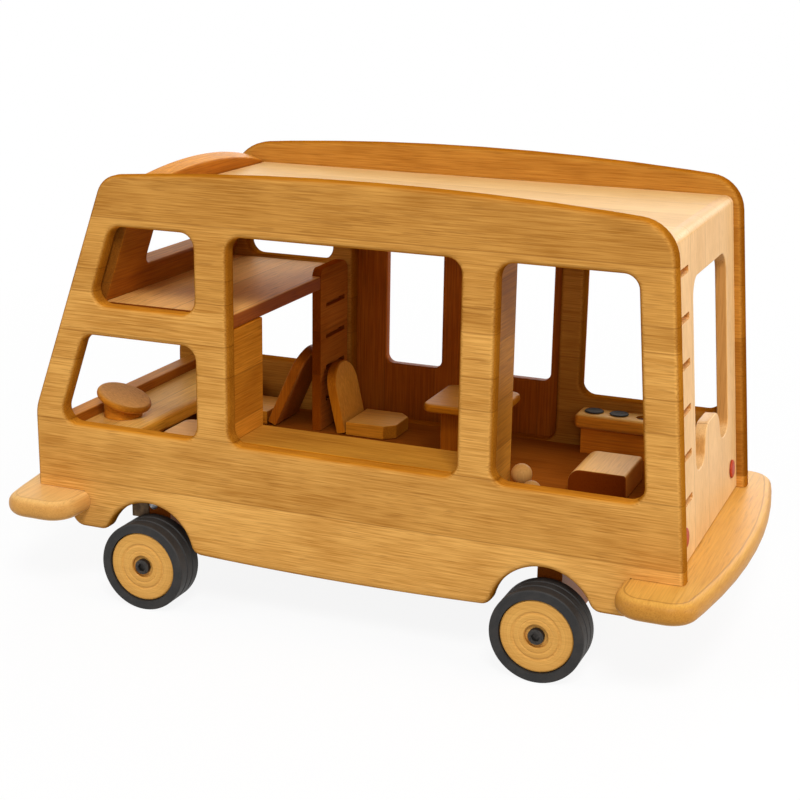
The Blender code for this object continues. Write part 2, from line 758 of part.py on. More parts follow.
# Floor, roof, dashboard and bunk run across between the side panels
corners = [(apron_in + GAP, FLOOR_LOW, 0.0), (rear_inner_x(FLOOR_LOW) - GAP, FLOOR_LOW, 0.0)]
corners += [(rear_inner_x(FLOOR_TOP) - GAP, FLOOR_TOP, 0.0), (apron_in + GAP, FLOOR_TOP, 0.0)]
across(corners, FIT_HALF, FLOOR_WOOD, "floor_panel")
corners = [(front_inner_x(ROOF_LOW) + GAP, ROOF_LOW, 0.0), (rear_inner_x(ROOF_LOW) - GAP, ROOF_LOW, 0.0)]
corners.append((rear_inner_x(ROOF_TOP) - GAP, ROOF_TOP, 0.0))
corners.append((front_inner_x(ROOF_TOP) + GAP + ROOF_EASE, ROOF_TOP, 0.0))
ease_z = ROOF_TOP - ROOF_EASE
corners.append((front_inner_x(ease_z) + GAP, ease_z, 0.0))
across(corners, FIT_HALF, ROOF_WOOD, "roof_panel")
dash_low = DASH_TOP - DASH_T
corners = [(apron_in + GAP, dash_low, 0.0), (DASH_REAR_X, dash_low, DASH_ROUND)]
corners += [(DASH_REAR_X, DASH_TOP, DASH_ROUND), (apron_in + GAP, DASH_TOP, 0.0)]
across(corners, FIT_HALF, WALL_WOOD, "dashboard")
corners = [(front_inner_x(BUNK_LOW) + GAP, BUNK_LOW, 0.0), (BUNK_REAR_X, BUNK_LOW, 0.0)]
corners += [(BUNK_REAR_X, BUNK_TOP, 0.0), (front_inner_x(BUNK_TOP) + GAP, BUNK_TOP, 0.0)]
bunk = across(corners, FIT_HALF, FLOOR_WOOD, "bunk_shelf")
ladder_rear = BUNK_REAR_X + GAP
ladder_front = ladder_rear - LADDER_T
ladder_in_y = FIT_HALF - LADDER_W
low = (ladder_front - GAP, ladder_in_y - GAP, BUNK_LOW - BUNK_T)
high = (ladder_rear + LADDER_T, INNER_HALF + LADDER_T, BUNK_TOP + BUNK_T)
cut(bunk, block(low, high), "ladder_notch")

# Cab partition, ladder board and rear partition stand on the floor
wall_low = FLOOR_TOP + GAP
low = (BUNK_REAR_X - WING_T, -FIT_HALF, wall_low)
solid("cab_partition", block(low, (BUNK_REAR_X, WING_W - FIT_HALF, BUNK_LOW - GAP)), WALL_WOOD)
low = (REAR_WING_X - WING_T, -FIT_HALF, wall_low)
solid("rear_partition", block(low, (REAR_WING_X, REAR_WING_W - FIT_HALF, ROOF_LOW - GAP)), WALL_WOOD)
ladder_top = BUNK_TOP + LADDER_UP
ladder_corners = [(ladder_in_y, wall_low, 0.0), (FIT_HALF, wall_low, 0.0)]
ladder_corners += [(FIT_HALF, ladder_top, WINDOW_R), (ladder_in_y, ladder_top, LADDER_UP)]
ladder_holes = []
first = ladder_in_y + LADDER_MARGIN_IN
last = FIT_HALF - LADDER_MARGIN_OUT
for number in range(LADDER_COUNT):
    ladder_holes.append(slot(first, last, LADDER_STEP_Z + LADDER_PITCH * number, LADDER_SLOT_H))
frame = crossing((ladder_front + ladder_rear) / 2, 0, 0)
solid("ladder_board", slab(rounded(ladder_corners), ladder_holes, LADDER_T, 0.0, frame), WALL_WOOD)

# Sliding side door on two rails outside the right side panel
door_in = BODY_W / 2 + DOOR_STAND_OFF
door_y = door_in + DOOR_T / 2
door_front = DOOR_CENTRE_X - DOOR_W / 2
door_rear = DOOR_CENTRE_X + DOOR_W / 2
door_holes = []
for side in (-1, 1):
    middle = DOOR_WINDOW_X + side * DOOR_WINDOW_STEP / 2
    first = middle - DOOR_WINDOW_W / 2
    last = middle + DOOR_WINDOW_W / 2
    corners = [(first, DOOR_WINDOW_LOW, DOOR_WINDOW_R), (last, DOOR_WINDOW_LOW, DOOR_WINDOW_R)]
    corners += [(last, DOOR_WINDOW_HIGH, DOOR_WINDOW_R), (first, DOOR_WINDOW_HIGH, DOOR_WINDOW_R)]
    door_holes.append(rounded(corners))
door_corners = [(door_front, DOOR_LOW, 0.0), (door_rear, DOOR_LOW, 0.0)]
door_corners += [(door_rear, DOOR_HIGH, 0.0), (door_front, DOOR_HIGH, 0.0)]
mesh = slab(rounded(door_corners), door_holes, DOOR_T, 0.001, standing(door_y))
solid("sliding_door", mesh, DOOR_WOOD, pivot=(DOOR_CENTRE_X, door_y, DOOR_LOW))
rail_in = BODY_W / 2 + GAP
rail_lip_in = door_in + DOOR_T + RUN_GAP
rail_out = rail_lip_in + RAIL_T
rail_front = door_front - RAIL_T
rail_rear = door_rear + DOOR_TRAVEL + RUN_GAP
for rail_name, level, up in (("lower", DOOR_LOW - RUN_GAP, 1), ("upper", DOOR_HIGH + RUN_GAP, -1)):
    base = level - up * RAIL_T
    lip = level + up * RAIL_LIP
    corners = [(rail_in, base, 0.0), (rail_out, base, 0.0), (rail_out, lip, 0.0)]
    corners += [(rail_lip_in, lip, 0.0), (rail_lip_in, level, 0.0), (rail_in, level, 0.0)]
    frame = crossing((rail_front + rail_rear) / 2, 0, 0)
    mesh = slab(rounded(corners), [], rail_rear - rail_front, 0.0, frame)
    solid(f"{rail_name}_door_rail", mesh, SIDE_WOOD)

# Steering column and its turning wheel, leaning towards the driver
column_low = DASH_TOP + GAP
steer_axis = Vector((math.sin(STEER_TILT), 0, math.cos(STEER_TILT)))
column_middle = Vector((COLUMN_X, COLUMN_Y, column_low + COLUMN_H))
profile = [(0, 2 * COLUMN_H), (COLUMN_R, 2 * COLUMN_H), (COLUMN_R, 0), (0, 0)]
mesh = turned(profile, TURN_STEPS, along((COLUMN_X, COLUMN_Y, column_low), (0, 0, 1)))
column = solid("steering_column", mesh, FURNITURE_WOOD, smooth=False)
steer_frame = along(column_middle, steer_axis)
mesh = block((-3 * COLUMN_R, -3 * COLUMN_R, 0), (3 * COLUMN_R, 3 * COLUMN_R, 6 * COLUMN_H))
mesh.transform(steer_frame)
cut(column, mesh, "column_top")
hole_r = STEER_PIN_R + BORE_GAP
hole_low = -STEER_PIN_L - RUN_GAP
profile = [(0, COLUMN_H), (hole_r, COLUMN_H), (hole_r, hole_low), (0, hole_low)]
cut(column, turned(profile, SMALL_STEPS, steer_frame), "column_hole")
high = RUN_GAP + STEER_T
profile = [(0, high), (STEER_R * 0.93, high), (STEER_R * 0.985, high - STEER_T * 0.15)]
profile += [(STEER_R, high - STEER_T * 0.4), (STEER_R, RUN_GAP + STEER_T * 0.3)]
profile += [(STEER_R * 0.97, RUN_GAP + STEER_T * 0.08), (STEER_R * 0.92, RUN_GAP)]
profile += [(STEER_PIN_R, RUN_GAP), (STEER_PIN_R, -STEER_PIN_L), (0, -STEER_PIN_L)]
mesh = turned(profile, TURN_STEPS, steer_frame)
solid("steering_wheel", mesh, FURNITURE_WOOD, pivot=column_middle, smooth=True)


def cushion(name, middle, size, low, height, corner, edge, coat, pivot=(0, 0, 0)):
    """A low block with rounded corners and edges, standing at a height."""
    first_x = middle[0] - size[0] / 2
    last_x = middle[0] + size[0] / 2
    first_y = middle[1] - size[1] / 2
    last_y = middle[1] + size[1] / 2
    corners = [(first_x, first_y, corner), (last_x, first_y, corner)]
    corners += [(last_x, last_y, corner), (first_x, last_y, corner)]
    mesh = slab(rounded(corners), [], height, edge, lying(low + height / 2))
    return solid(name, mesh, coat, pivot=pivot)


# Driver's seat and kitchen, fixed to the floor
cushion("driver_seat", (SEAT_X, SEAT_Y), (SEAT_L, SEAT_W), wall_low, SEAT_H, 0.008, 0.003, FURNITURE_WOOD)
counter_low = COUNTER_TOP - COUNTER_T
counter_in = FIT_HALF - COUNTER_W
low = (COUNTER_X + PLINTH_BACK, counter_in + PLINTH_BACK, wall_low)
solid("kitchen_base", block(low, (COUNTER_X + COUNTER_L, FIT_HALF, counter_low - GAP)), WALL_WOOD)
middle = (COUNTER_X + COUNTER_L / 2, FIT_HALF - COUNTER_W / 2)
counter = cushion(
    "kitchen_counter", middle, (COUNTER_L, COUNTER_W), counter_low, COUNTER_T, 0.003, 0.0012, FURNITURE_WOOD
)
burner_y = counter_in + BURNER_IN
for number, burner_name in enumerate(("front", "rear")):
    base = (COUNTER_X + BURNER_X + BURNER_STEP * number, burner_y, COUNTER_TOP + GAP)
    profile = [(0, BURNER_T), (BURNER_R * 0.9, BURNER_T), (BURNER_R, BURNER_T * 0.6), (BURNER_R, 0), (0, 0)]
    mesh = turned(profile, SMALL_STEPS, along(base, (0, 0, 1)))
    solid(f"{burner_name}_burner", mesh, BLACK_PAINT)
base = (COUNTER_X + BURNER_X + BURNER_STEP * 2, burner_y, COUNTER_TOP)
profile = [(0, COUNTER_T), (SINK_R, COUNTER_T), (SINK_R, -SINK_DEPTH), (0, -SINK_DEPTH)]
cut(counter, turned(profile, SMALL_STEPS, along(base, (0, 0, 1))), "sink_recess")
base = (base[0], base[1], COUNTER_TOP - SINK_DEPTH + GAP)
profile = [(0, SINK_DEPTH / 3), (SINK_R - GAP, SINK_DEPTH / 3), (SINK_R - GAP, 0), (0, 0)]
solid("kitchen_sink", turned(profile, SMALL_STEPS, along(base, (0, 0, 1))), SINK_PAINT)

# Loose furniture: bench, table and two chairs
pivot = (BENCH_X, BENCH_Y, wall_low)
cushion("bench", pivot, (BENCH_L, BENCH_W), wall_low, BENCH_H, 0.003, 0.0035, FURNITURE_WOOD, pivot)
pivot = (TABLE_X, INNER_HALF - TABLE_SIDE, wall_low)
leg_h = TABLE_H - TABLE_T - GAP
cushion("table_leg", pivot, (LEG_L, LEG_W), wall_low, leg_h, 0.002, 0.0008, FURNITURE_WOOD, pivot)
table_low = wall_low + leg_h + GAP
cushion("table_top", pivot, (TABLE_L, TABLE_W), table_low, TABLE_T, 0.007, 0.002, FURNITURE_WOOD, pivot)


def chair(name, x, y, facing, lean, back_h):
    """A chair whose round-topped back leans away from the seat. Facing is +1 towards the rear."""
    pivot = (x, y, wall_low)
    half_w = CHAIR_W / 2
    narrow = half_w - CHAIR_CHAMFER
    far = x + facing * CHAIR_SEAT_L
    near = far - facing * CHAIR_CHAMFER
    corners = [(x, y - half_w, 0.0), (near, y - half_w, CHAIR_CORNER_R), (far, y - narrow, CHAIR_CORNER_R)]
    corners += [(far, y + narrow, CHAIR_CORNER_R), (near, y + half_w, CHAIR_CORNER_R), (x, y + half_w, 0.0)]
    mesh = slab(rounded(corners), [], CHAIR_SEAT_T, 0.001, lying(wall_low + CHAIR_SEAT_T / 2))
    solid(f"{name}_seat", mesh, FURNITURE_WOOD, pivot=pivot)
    corners = [(y - half_w, 0.0, 0.0), (y + half_w, 0.0, 0.0)]
    corners += [(y + half_w, back_h, half_w * 0.8), (y - half_w, back_h, half_w * 0.8)]
    foot_x = x - facing * (GAP + CHAIR_BACK_T / 2 * math.cos(lean))
    foot_z = wall_low + CHAIR_BACK_T / 2 * math.sin(lean)
    frame = crossing(foot_x, foot_z, -facing * lean)
    mesh = slab(rounded(corners), [], CHAIR_BACK_T, 0.0012, frame)
    solid(f"{name}_back", mesh, FURNITURE_WOOD, pivot=pivot)


chair("cab_chair", CAB_CHAIR_X, INNER_HALF - CAB_CHAIR_SIDE, -1, CAB_CHAIR_LEAN, CAB_CHAIR_BACK_H)
chair("van_chair", VAN_CHAIR_X, INNER_HALF - VAN_CHAIR_SIDE, 1, VAN_CHAIR_LEAN, VAN_CHAIR_BACK_H)

# Two turned peg figures
places = [("tall", FIGURE_ONE_X, FIGURE_ONE_SIDE - INNER_HALF, 1.0)]
places.append(("short", FIGURE_TWO_X, FIGURE_TWO_SIDE - INNER_HALF, FIGURE_TWO_SCALE))
for name, x, y, size in places:
    head_z = FIGURE_H - FIGURE_HEAD_R
    profile = []
    for step in range(7):
        angle = math.pi / 2 - step * math.radians(25)
        profile.append((FIGURE_HEAD_R * math.cos(angle), head_z + FIGURE_HEAD_R * math.sin(angle)))
    profile[0] = (0, FIGURE_H)
    profile.append((FIGURE_NECK_R, head_z - FIGURE_HEAD_R * 0.98))
    profile.append((FIGURE_BODY_R * 0.85, head_z - FIGURE_HEAD_R * 1.25))
    profile.append((FIGURE_BODY_R, head_z - FIGURE_HEAD_R * 1.6))
    profile += [(FIGURE_BODY_R, FIGURE_BODY_R * 0.1), (FIGURE_BODY_R * 0.9, 0), (0, 0)]
    profile = [(radius * size, height * size) for radius, height in profile]
    pivot = (x, y, wall_low)
    mesh = turned(profile, SMALL_STEPS, along(pivot, (0, 0, 1)))
    solid(f"{name}_figure", mesh, FIGURE_WOOD, pivot=pivot, smooth=True)

# Axle blocks under the floor, with a bored end for each wheel bolt
block_high = FLOOR_LOW - GAP
washer_in = BLOCK_HALF_W + GAP
hub_in = washer_in + WASHER_T + RUN_GAP
hub_out = hub_in + TYRE_W - HUB_RECESS
seat_y = hub_out - HUB_CUP_DEPTH
for end_name, end in (("front", -1), ("rear", 1)):
    x = end * AXLE_X
    low = (x - BLOCK_HALF_L, -BLOCK_HALF_W, BLOCK_LOW)
    high = (x + BLOCK_HALF_L, BLOCK_HALF_W, block_high)
    axle_block = solid(f"{end_name}_axle_block", block(low, high), WALL_WOOD)
    for side_name, side in (("left", -1), ("right", 1)):
        wheel_name = f"{end_name}_{side_name}"
        frame = along((x, 0, TYRE_R), (0, side, 0))
        hole_r = BOLT_R + GAP
        hole_in = BLOCK_HALF_W - BOLT_GRIP
        profile = [(0, hub_out), (hole_r, hub_out), (hole_r, hole_in - GAP), (0, hole_in - GAP)]
        cut(axle_block, turned(profile, SMALL_STEPS, frame), f"{wheel_name}_bolt_hole")
        head_in = seat_y + GAP
        head_out = head_in + BOLT_HEAD_H
        edge = BOLT_HEAD_R * 0.12
        profile = [(0, head_out), (BOLT_HEAD_R - edge, head_out), (BOLT_HEAD_R, head_out - edge)]
        profile += [(BOLT_HEAD_R, head_in), (BOLT_R, head_in), (BOLT_R, hole_in), (0, hole_in)]
        bolt = solid(f"{wheel_name}_bolt", turned(profile, SMALL_STEPS, frame), BLACK_STEEL)
        profile = [(0, head_out + SOCKET_DEPTH), (SOCKET_R, head_out + SOCKET_DEPTH)]
        profile += [(SOCKET_R, head_out - SOCKET_DEPTH), (0, head_out - SOCKET_DEPTH)]
        cut(bolt, turned(profile, 6, frame), f"{wheel_name}_socket")
        bore = BOLT_R + BORE_GAP
        profile = [(bore, washer_in + WASHER_T), (WASHER_R, washer_in + WASHER_T)]
        profile += [(WASHER_R, washer_in), (bore, washer_in)]
        solid(f"{wheel_name}_washer", turned(profile, SMALL_STEPS, frame, ring=True), ZINC_STEEL)
        rim_r = TYRE_R - TYRE_SIDE
        pivot = (x, 0, TYRE_R)
        profile = [(bore, seat_y), (HUB_CUP_R, seat_y), (HUB_CUP_R, hub_out - HUB_RING_DEPTH)]
        profile += [(HUB_CUP_R + HUB_RING_DEPTH, hub_out), (HUB_RING_R - HUB_RING_W, hub_out)]
        profile += [(HUB_RING_R, hub_out - HUB_RING_DEPTH), (HUB_RING_R + HUB_RING_W, hub_out)]
        profile += [(rim_r - GAP - HUB_BEVEL, hub_out), (rim_r - GAP, hub_out - HUB_BEVEL)]
        profile += [(rim_r - GAP, hub_in), (bore, hub_in)]
        solid(f"{wheel_name}_hub", turned(profile, TURN_STEPS, frame, ring=True), HUB_WOOD, pivot=pivot)
        tyre_out = hub_in + TYRE_W
        wall = TYRE_SHOULDER
        shoulder_r = TYRE_R - wall * 0.25
        profile = [(rim_r, tyre_out), (TYRE_R - wall, tyre_out)]
        profile += [(shoulder_r, tyre_out - wall * 0.4), (TYRE_R, tyre_out - wall)]
        rib = (TYRE_W - 2 * wall) / 3
        for number in range(1, 3):
            middle = tyre_out - wall - rib * number
            profile.append((TYRE_R, middle + TREAD_GROOVE))
            profile.append((TYRE_R - TREAD_GROOVE, middle))
            profile.append((TYRE_R, middle - TREAD_GROOVE))
        profile += [(TYRE_R, hub_in + wall), (shoulder_r, hub_in + wall * 0.4)]
        profile += [(TYRE_R - wall, hub_in), (rim_r, hub_in)]
        mesh = turned(profile, TURN_STEPS, frame, ring=True)
        solid(f"{wheel_name}_tyre", mesh, RUBBER, pivot=pivot)

# Steel corner angle on the front axle block's left end, and a screw beside it
plate_in = -AXLE_X - BLOCK_HALF_L - GAP
plate_high = FLOOR_LOW - GAP
plate_out = plate_in - PLATE_OUT
plate_y = -BLOCK_HALF_W
corners = [(plate_in, plate_y, 0.0), (plate_in, plate_y + PLATE_W, 0.0)]
corners += [(plate_in - PLATE_T, plate_y + PLATE_W, 0.0), (plate_in - PLATE_T, plate_y + PLATE_T, 0.0)]
corners += [(plate_out, plate_y + PLATE_T, 0.0), (plate_out, plate_y, 0.0)]
mesh = slab(rounded(corners), [], PLATE_H, 0.0, lying(plate_high - PLATE_H / 2))
solid("axle_bracket", mesh, ZINC_STEEL)
base = (-AXLE_X - BLOCK_HALF_L + SCREW_IN, plate_y - GAP, SCREW_Z)
profile = [(0, SCREW_HEAD_H), (SCREW_HEAD_R * 0.7, SCREW_HEAD_H)]
profile += [(SCREW_HEAD_R, SCREW_HEAD_H * 0.4), (SCREW_HEAD_R, 0), (0, 0)]
solid("bracket_screw", turned(profile, SMALL_STEPS, along(base, (0, -1, 0))), ZINC_STEEL)
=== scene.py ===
"""The toy camper van dressed over its CAD frame: finely rounded boards, turned pieces and tyres, with
procedural lacquered wood, rubber and steel. Metres, +Z up, front towards -X, ground at Z = 0."""

import json
import math

import bmesh
import bpy
from mathutils import Matrix, Vector


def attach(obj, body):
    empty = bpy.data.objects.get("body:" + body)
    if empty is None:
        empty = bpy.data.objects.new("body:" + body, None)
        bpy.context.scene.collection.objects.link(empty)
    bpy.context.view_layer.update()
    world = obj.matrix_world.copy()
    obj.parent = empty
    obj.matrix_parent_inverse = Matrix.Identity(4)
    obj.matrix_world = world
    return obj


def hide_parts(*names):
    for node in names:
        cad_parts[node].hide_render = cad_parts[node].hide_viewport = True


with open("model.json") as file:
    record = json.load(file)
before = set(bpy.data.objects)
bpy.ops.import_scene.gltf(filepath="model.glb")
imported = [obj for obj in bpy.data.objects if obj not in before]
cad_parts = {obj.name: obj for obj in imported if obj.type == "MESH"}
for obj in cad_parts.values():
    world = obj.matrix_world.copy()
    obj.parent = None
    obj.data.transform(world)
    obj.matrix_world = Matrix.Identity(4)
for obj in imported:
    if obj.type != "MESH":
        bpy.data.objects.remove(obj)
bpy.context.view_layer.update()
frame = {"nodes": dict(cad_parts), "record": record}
record = frame["record"]

BODY_OF = {}
for body_name, body_nodes in record["behaviour"]["bodies"].items():
    for node_name in body_nodes:
        BODY_OF[node_name] = body_name

# Sizes of the solids, in metres
GAP = 0.0003
RUN_GAP = 0.0006
BORE_GAP = 0.0004
TYRE_R = 0.030
TYRE_W = 0.0233
TYRE_SIDE = 0.0062
AXLE_X = 0.136
HUB_RECESS = 0.0008
HUB_CUP_R = 0.0074
HUB_CUP_DEPTH = 0.0026
BOLT_R = 0.0030
BOLT_HEAD_R = 0.0051
BOLT_HEAD_H = 0.0032
BOLT_GRIP = 0.0200
SOCKET_R = 0.0029
SOCKET_DEPTH = 0.0020
WASHER_T = 0.0012
BODY_W = 0.204
SIDE_T = 0.012
SIDE_ROUND = 0.0035
TOP_Z = 0.2935
TOP_BOW_R = 2.0
TOP_BOW_X = 0.010
FRONT_X = -0.2200
NOSE_Z = 0.1274
FRONT_LEAN = 0.343
REAR_X = 0.2218
REAR_LEAN = 0.0835
CORNER_FRONT_R = 0.0165
FAR_CORNER_R = 0.030
CORNER_REAR_R = 0.025
NOSE_R = 0.030
SILL_Z = 0.1198
HEAD_Z = 0.2540
BUNK_SILL_Z = 0.2022
CAB_HEAD_Z = 0.1815
POST_FRONT_X = -0.0985
POST_FRONT_W = 0.0238
POST_REAR_X = 0.0790
POST_REAR_W = 0.0227
FRAME_BUNK = 0.0195
FRAME_CAB = 0.0215
FRAME_REAR = 0.0227
WINDOW_R = 0.0095
SKIRT_Z = 0.0408
SKIRT_BOW = 0.0019
FOOT_Z = 0.0480
FOOT_END_X = 0.1950
ARCH_R = 0.0327
ARCH_UP = 0.0083
ARCH_TOE_R = 0.008
FAR_POST_SHIFT = 0.0085
FAR_FRAME_CUT = 0.0060
FAR_BUNK_FRAME = 0.0315
FAR_BUNK_RISE = 0.0023
FAR_SILL_RISE = 0.0052
DOOR_FRONT_X = -0.0730
DOOR_REAR_X = 0.0840
DOOR_HEAD_Z = 0.2570
DOOR_T = 0.008
DOOR_STAND_OFF = 0.0020
DOOR_CENTRE_X = 0.0100
DOOR_W = 0.1780
DOOR_LOW = 0.0830
DOOR_HIGH = 0.2610
DOOR_TRAVEL = 0.0880
DOOR_WINDOW_X = 0.0119
DOOR_WINDOW_W = 0.0437
DOOR_WINDOW_STEP = 0.0834
DOOR_WINDOW_LOW = 0.1287
DOOR_WINDOW_HIGH = 0.2500
DOOR_WINDOW_R = 0.006
RAIL_T = 0.005
RAIL_LIP = 0.007
BUMPER_TOP = 0.0737
BUMPER_T = 0.0135
BUMPER_ROUND = 0.0060
BUMPER_ENDS = (("front", -1, 0.1790, 0.2415), ("rear", 1, 0.1850, 0.2463))
BUMPER_LAP = 0.0045
BUMPER_HALF_W = 0.1346
BUMPER_BOW = 0.0148
BUMPER_CORNER_R = 0.018
FLOOR_TOP = 0.0890
BOARD_T = 0.012
ROOF_TOP = 0.2733
ROOF_EASE = 0.0012
REAR_T = 0.0075
REAR_INSET = 0.0062
REAR_TOP_ROUND = 0.0062
REAR_WINDOW_Y = 0.0133
REAR_WINDOW_HALF = 0.0495
REAR_WINDOW_TOP = 0.2415
REAR_WINDOW_R = 0.0125
REAR_NOTCH_Z = 0.1215
REAR_NOTCH_W = 0.0235
REAR_NOTCH_R = 0.0095
TONGUE_TOP_Z = 0.1440
TONGUE_HALF = 0.0200
TONGUE_R = 0.015
STEP_COUNT = 6
STEP_FIRST_Z = 0.1120
STEP_PITCH = 0.02765
STEP_SLOT_H = 0.0045
STEP_POCKET = 0.0052
STEP_IN_Y = 0.0485
STEP_OUT_Y = 0.0760
LIGHT_R = 0.0062
LIGHT_T = 0.0018
LIGHT_Y = 0.0712
LIGHT_Z = 0.0924
FRONT_INSET = 0.0120
FRONT_EDGE_Z = 0.2742
FRONT_PEAK_Z = 0.2842
BUNK_WINDOW_HALF = 0.0500
BUNK_WINDOW_LOW = 0.2200
BUNK_WINDOW_HIGH = 0.2580
SCREEN_TOP = 0.1890
APRON_TOP = 0.1210
DASH_TOP = 0.1142
DASH_T = 0.012
DASH_REAR_X = -0.1550
DASH_ROUND = 0.004
COLUMN_R = 0.0130
COLUMN_H = 0.0094
COLUMN_X = -0.1807
COLUMN_Y = -0.0550
STEER_TILT = math.radians(20)
STEER_R = 0.0190
STEER_T = 0.0050
STEER_PIN_R = 0.0030
STEER_PIN_L = 0.0032
BUNK_TOP = 0.2025
BUNK_T = 0.0095
BUNK_REAR_X = -0.0770
WING_T = 0.008
WING_W = 0.0420
LEDGE_W = 0.0400
LADDER_T = 0.0070
LADDER_W = 0.0470
LADDER_UP = 0.0055
LADDER_COUNT = 4
LADDER_PITCH = 0.0231
LADDER_STEP_Z = 0.1114
LADDER_MARGIN_IN = 0.0090
LADDER_MARGIN_OUT = 0.0060
LADDER_SLOT_H = 0.0035
LADDER_POCKET = 0.0045
REAR_WING_X = 0.0950
REAR_WING_W = 0.0470
COUNTER_TOP = 0.1180
COUNTER_T = 0.0100
COUNTER_W = 0.0220
COUNTER_X = 0.1040
COUNTER_L = 0.0620
BURNER_R = 0.0066
BURNER_T = 0.0015
BURNER_X = 0.0115
BURNER_STEP = 0.0178
BURNER_IN = 0.0115
SINK_R = 0.0056
SINK_DEPTH = 0.0030
TABLE_H = 0.0410
TABLE_T = 0.0060
CHAIR_SEAT_L = 0.0360
CHAIR_W = 0.0380
CHAIR_SEAT_T = 0.0100
CHAIR_BACK_T = 0.0075
CHAIR_CHAMFER = 0.0076
CHAIR_CORNER_R = 0.002
FIGURE_H = 0.0255
FIGURE_R = 0.0066
FIGURE_HEAD_R = 0.0068
FIGURE_NECK_R = 0.0044
BLOCK_HALF_L = 0.0080
BLOCK_HALF_W = 0.0852
PLATE_T = 0.0018
PLATE_H = 0.0220
PLATE_W = 0.0220
PLATE_OUT = 0.0130
SCREW_HEAD_R = 0.0030
SCREW_HEAD_H = 0.0012
SCREW_Z = 0.0650
SCREW_IN = 0.0036
MIDDLE_X = 0.0024

# Sizes of the finer shapes
WALL_EASE = 0.0010
APRON_EASE = 0.0012
PANEL_EASE = 0.0016
SECTION_EASE = 0.0004
EASE = 0.0009
FINE_EASE = 0.0008
HAIR = 0.00002
FOOT_ROUND = 0.8
STEP_SLOT_R = 0.0012
LIGHT_RIM = 0.25
LIGHT_DOME = 0.7
BUNK_ROUND = 0.0015
RAIL_ROUND = 0.0015
STEER_RIM = 0.45
SEAT_PLACE = (-0.1210, -0.0550)
SEAT_PLAN = (0.0420, 0.0400)
SEAT_H = 0.0230
SEAT_CORNER_R = 0.008
SEAT_ROUND = 0.003
COUNTER_CORNER_R = 0.004
COUNTER_ROUND = 0.003
BOWL_REACH = 0.9
BOWL_FLOOR = 0.12
BOWL_RISE = 0.20
BURNER_FORM = ((0, 0.45), (0.42, 0.45), (0.5, 0.6), (0.86, 0.6), (0.96, 0.5), (1, 0.3), (1, 0), (0, 0))
BENCH_FRONT_X = 0.1240
BENCH_REAR_X = 0.1630
BENCH_TOP_X = 0.1622
BENCH_H = 0.0160
BENCH_W = 0.0450
BENCH_Y = 0.0105
BENCH_EASE = 0.001
BENCH_REAR_R = 0.0022
BENCH_FRONT_R = 0.0085
TABLE_PLACE = (0.0410, 0.0355)
TABLE_PLAN = (0.0540, 0.0570)
TABLE_CORNER_R = 0.007
TABLE_ROUND = 0.0022
LEG_PLAN = (0.0380, 0.0240)
LEG_CORNER_R = 0.002
LEG_EASE = 0.0010
CHAIR_SEAT_EASE = 0.0010
CHAIR_BACK_EASE = 0.0014
CHAIR_CROWN = 0.97
FIGURES = (("tall", 0.1025, -0.0430, 1.0), ("short", 0.1160, -0.0650, 0.90))
FIGURE_HEAD_TURN = math.radians(150)
FIGURE_CHIN = 0.98
FIGURE_CHEST = 1.6
FIGURE_SHOULDER = 0.55
FIGURE_FOOT = ((1, 0.1), (0.97, 0.03), (0.9, 0), (0, 0))
HUB_CUP_EASE = 0.0006
HUB_GROOVES = ((0.0108, 0.0009, 0.0003), (0.0150, 0.0014, 0.0006))
HUB_EDGE_R = 0.0018
TYRE_SHOULDER = 0.0012
TYRE_FLAT = 0.0010
TREAD_MARGIN = 0.0018
TREAD_GROOVE = ((0.0008, 0), (0.0005, 0.0005), (0, 0.0008), (-0.0005, 0.0005), (-0.0008, 0))
BOLT_EDGE = 0.12
BOLT_BEVEL = 0.3
PLATE_BEND_R = 0.0014
PLATE_INNER_R = 0.0006
PLATE_EASE = 0.0002
CROSS_HALF_L = 0.0018
CROSS_HALF_W = 0.0003
CROSS_LOW = 0.45
SCREW_DOME = 0.6
SCREW_CURVE = 2.5

# Fineness of the visual meshes
ARC_STEPS = 10
BOW_STEPS = 10
EDGE_STEPS = 5
FINE_EDGE_STEPS = 2
FINE_EDGE = 0.002
BEVEL_STEPS = 3
TURN_STEPS = 96
SMALL_STEPS = 48
ROUND_STEPS = 8
RIM_STEPS = 16
HEAD_STEPS = 24
BOWL_STEPS = 6
HUB_EDGE_STEPS = 6
TYRE_EDGE_STEPS = 5
HEXAGON = 6
WELD = 0.000001
MERGE = 0.00001
SHARP_ANGLE = 38
TYRE_SHARP_ANGLE = 50

# Looks and stage
EDGE_TINT = (0.96, 0.75, 0.26)
END_TINT = (0.62, 0.58, 0.52)
PORE_BROWN = (0.20, 0.065, 0.010)
LACQUER_TINT = (1.0, 0.80, 0.56)
GREEN_FALL = 1.3
BLUE_FALL = 1.9
PLAN_REACH = 0.3
GLUE_EDGE = 0.0006
GLUE_CORE = 0.0001
WORLD_LIGHT = 0.20
FLOOR_REACH = 60
FLOOR_SHADE = (0.50, 0.95)
FLOOR_FADE = (0.30, 1.10, 0.90, 1.0)

AXES = "XYZ"
QUARTER = math.pi / 2
SIDES = (("left", -1), ("right", 1))
INNER_HALF = BODY_W / 2 - SIDE_T
FIT_HALF = INNER_HALF - GAP
FLOOR_LOW = FLOOR_TOP - BOARD_T
ROOF_LOW = ROOF_TOP - BOARD_T
BUNK_LOW = BUNK_TOP - BUNK_T
SLOT_HIGH = BUMPER_TOP + GAP
SLOT_LOW = BUMPER_TOP - BUMPER_T - GAP
SLOT_MIDDLE = (SLOT_HIGH + SLOT_LOW) / 2
FRONT_ANGLE = math.atan(FRONT_LEAN)
REAR_ANGLE = math.atan(REAR_LEAN)


def warm(tone):
    """A stave's tone as a colour factor: a darker stave is redder too."""
    return (tone, tone**GREEN_FALL, tone**BLUE_FALL)


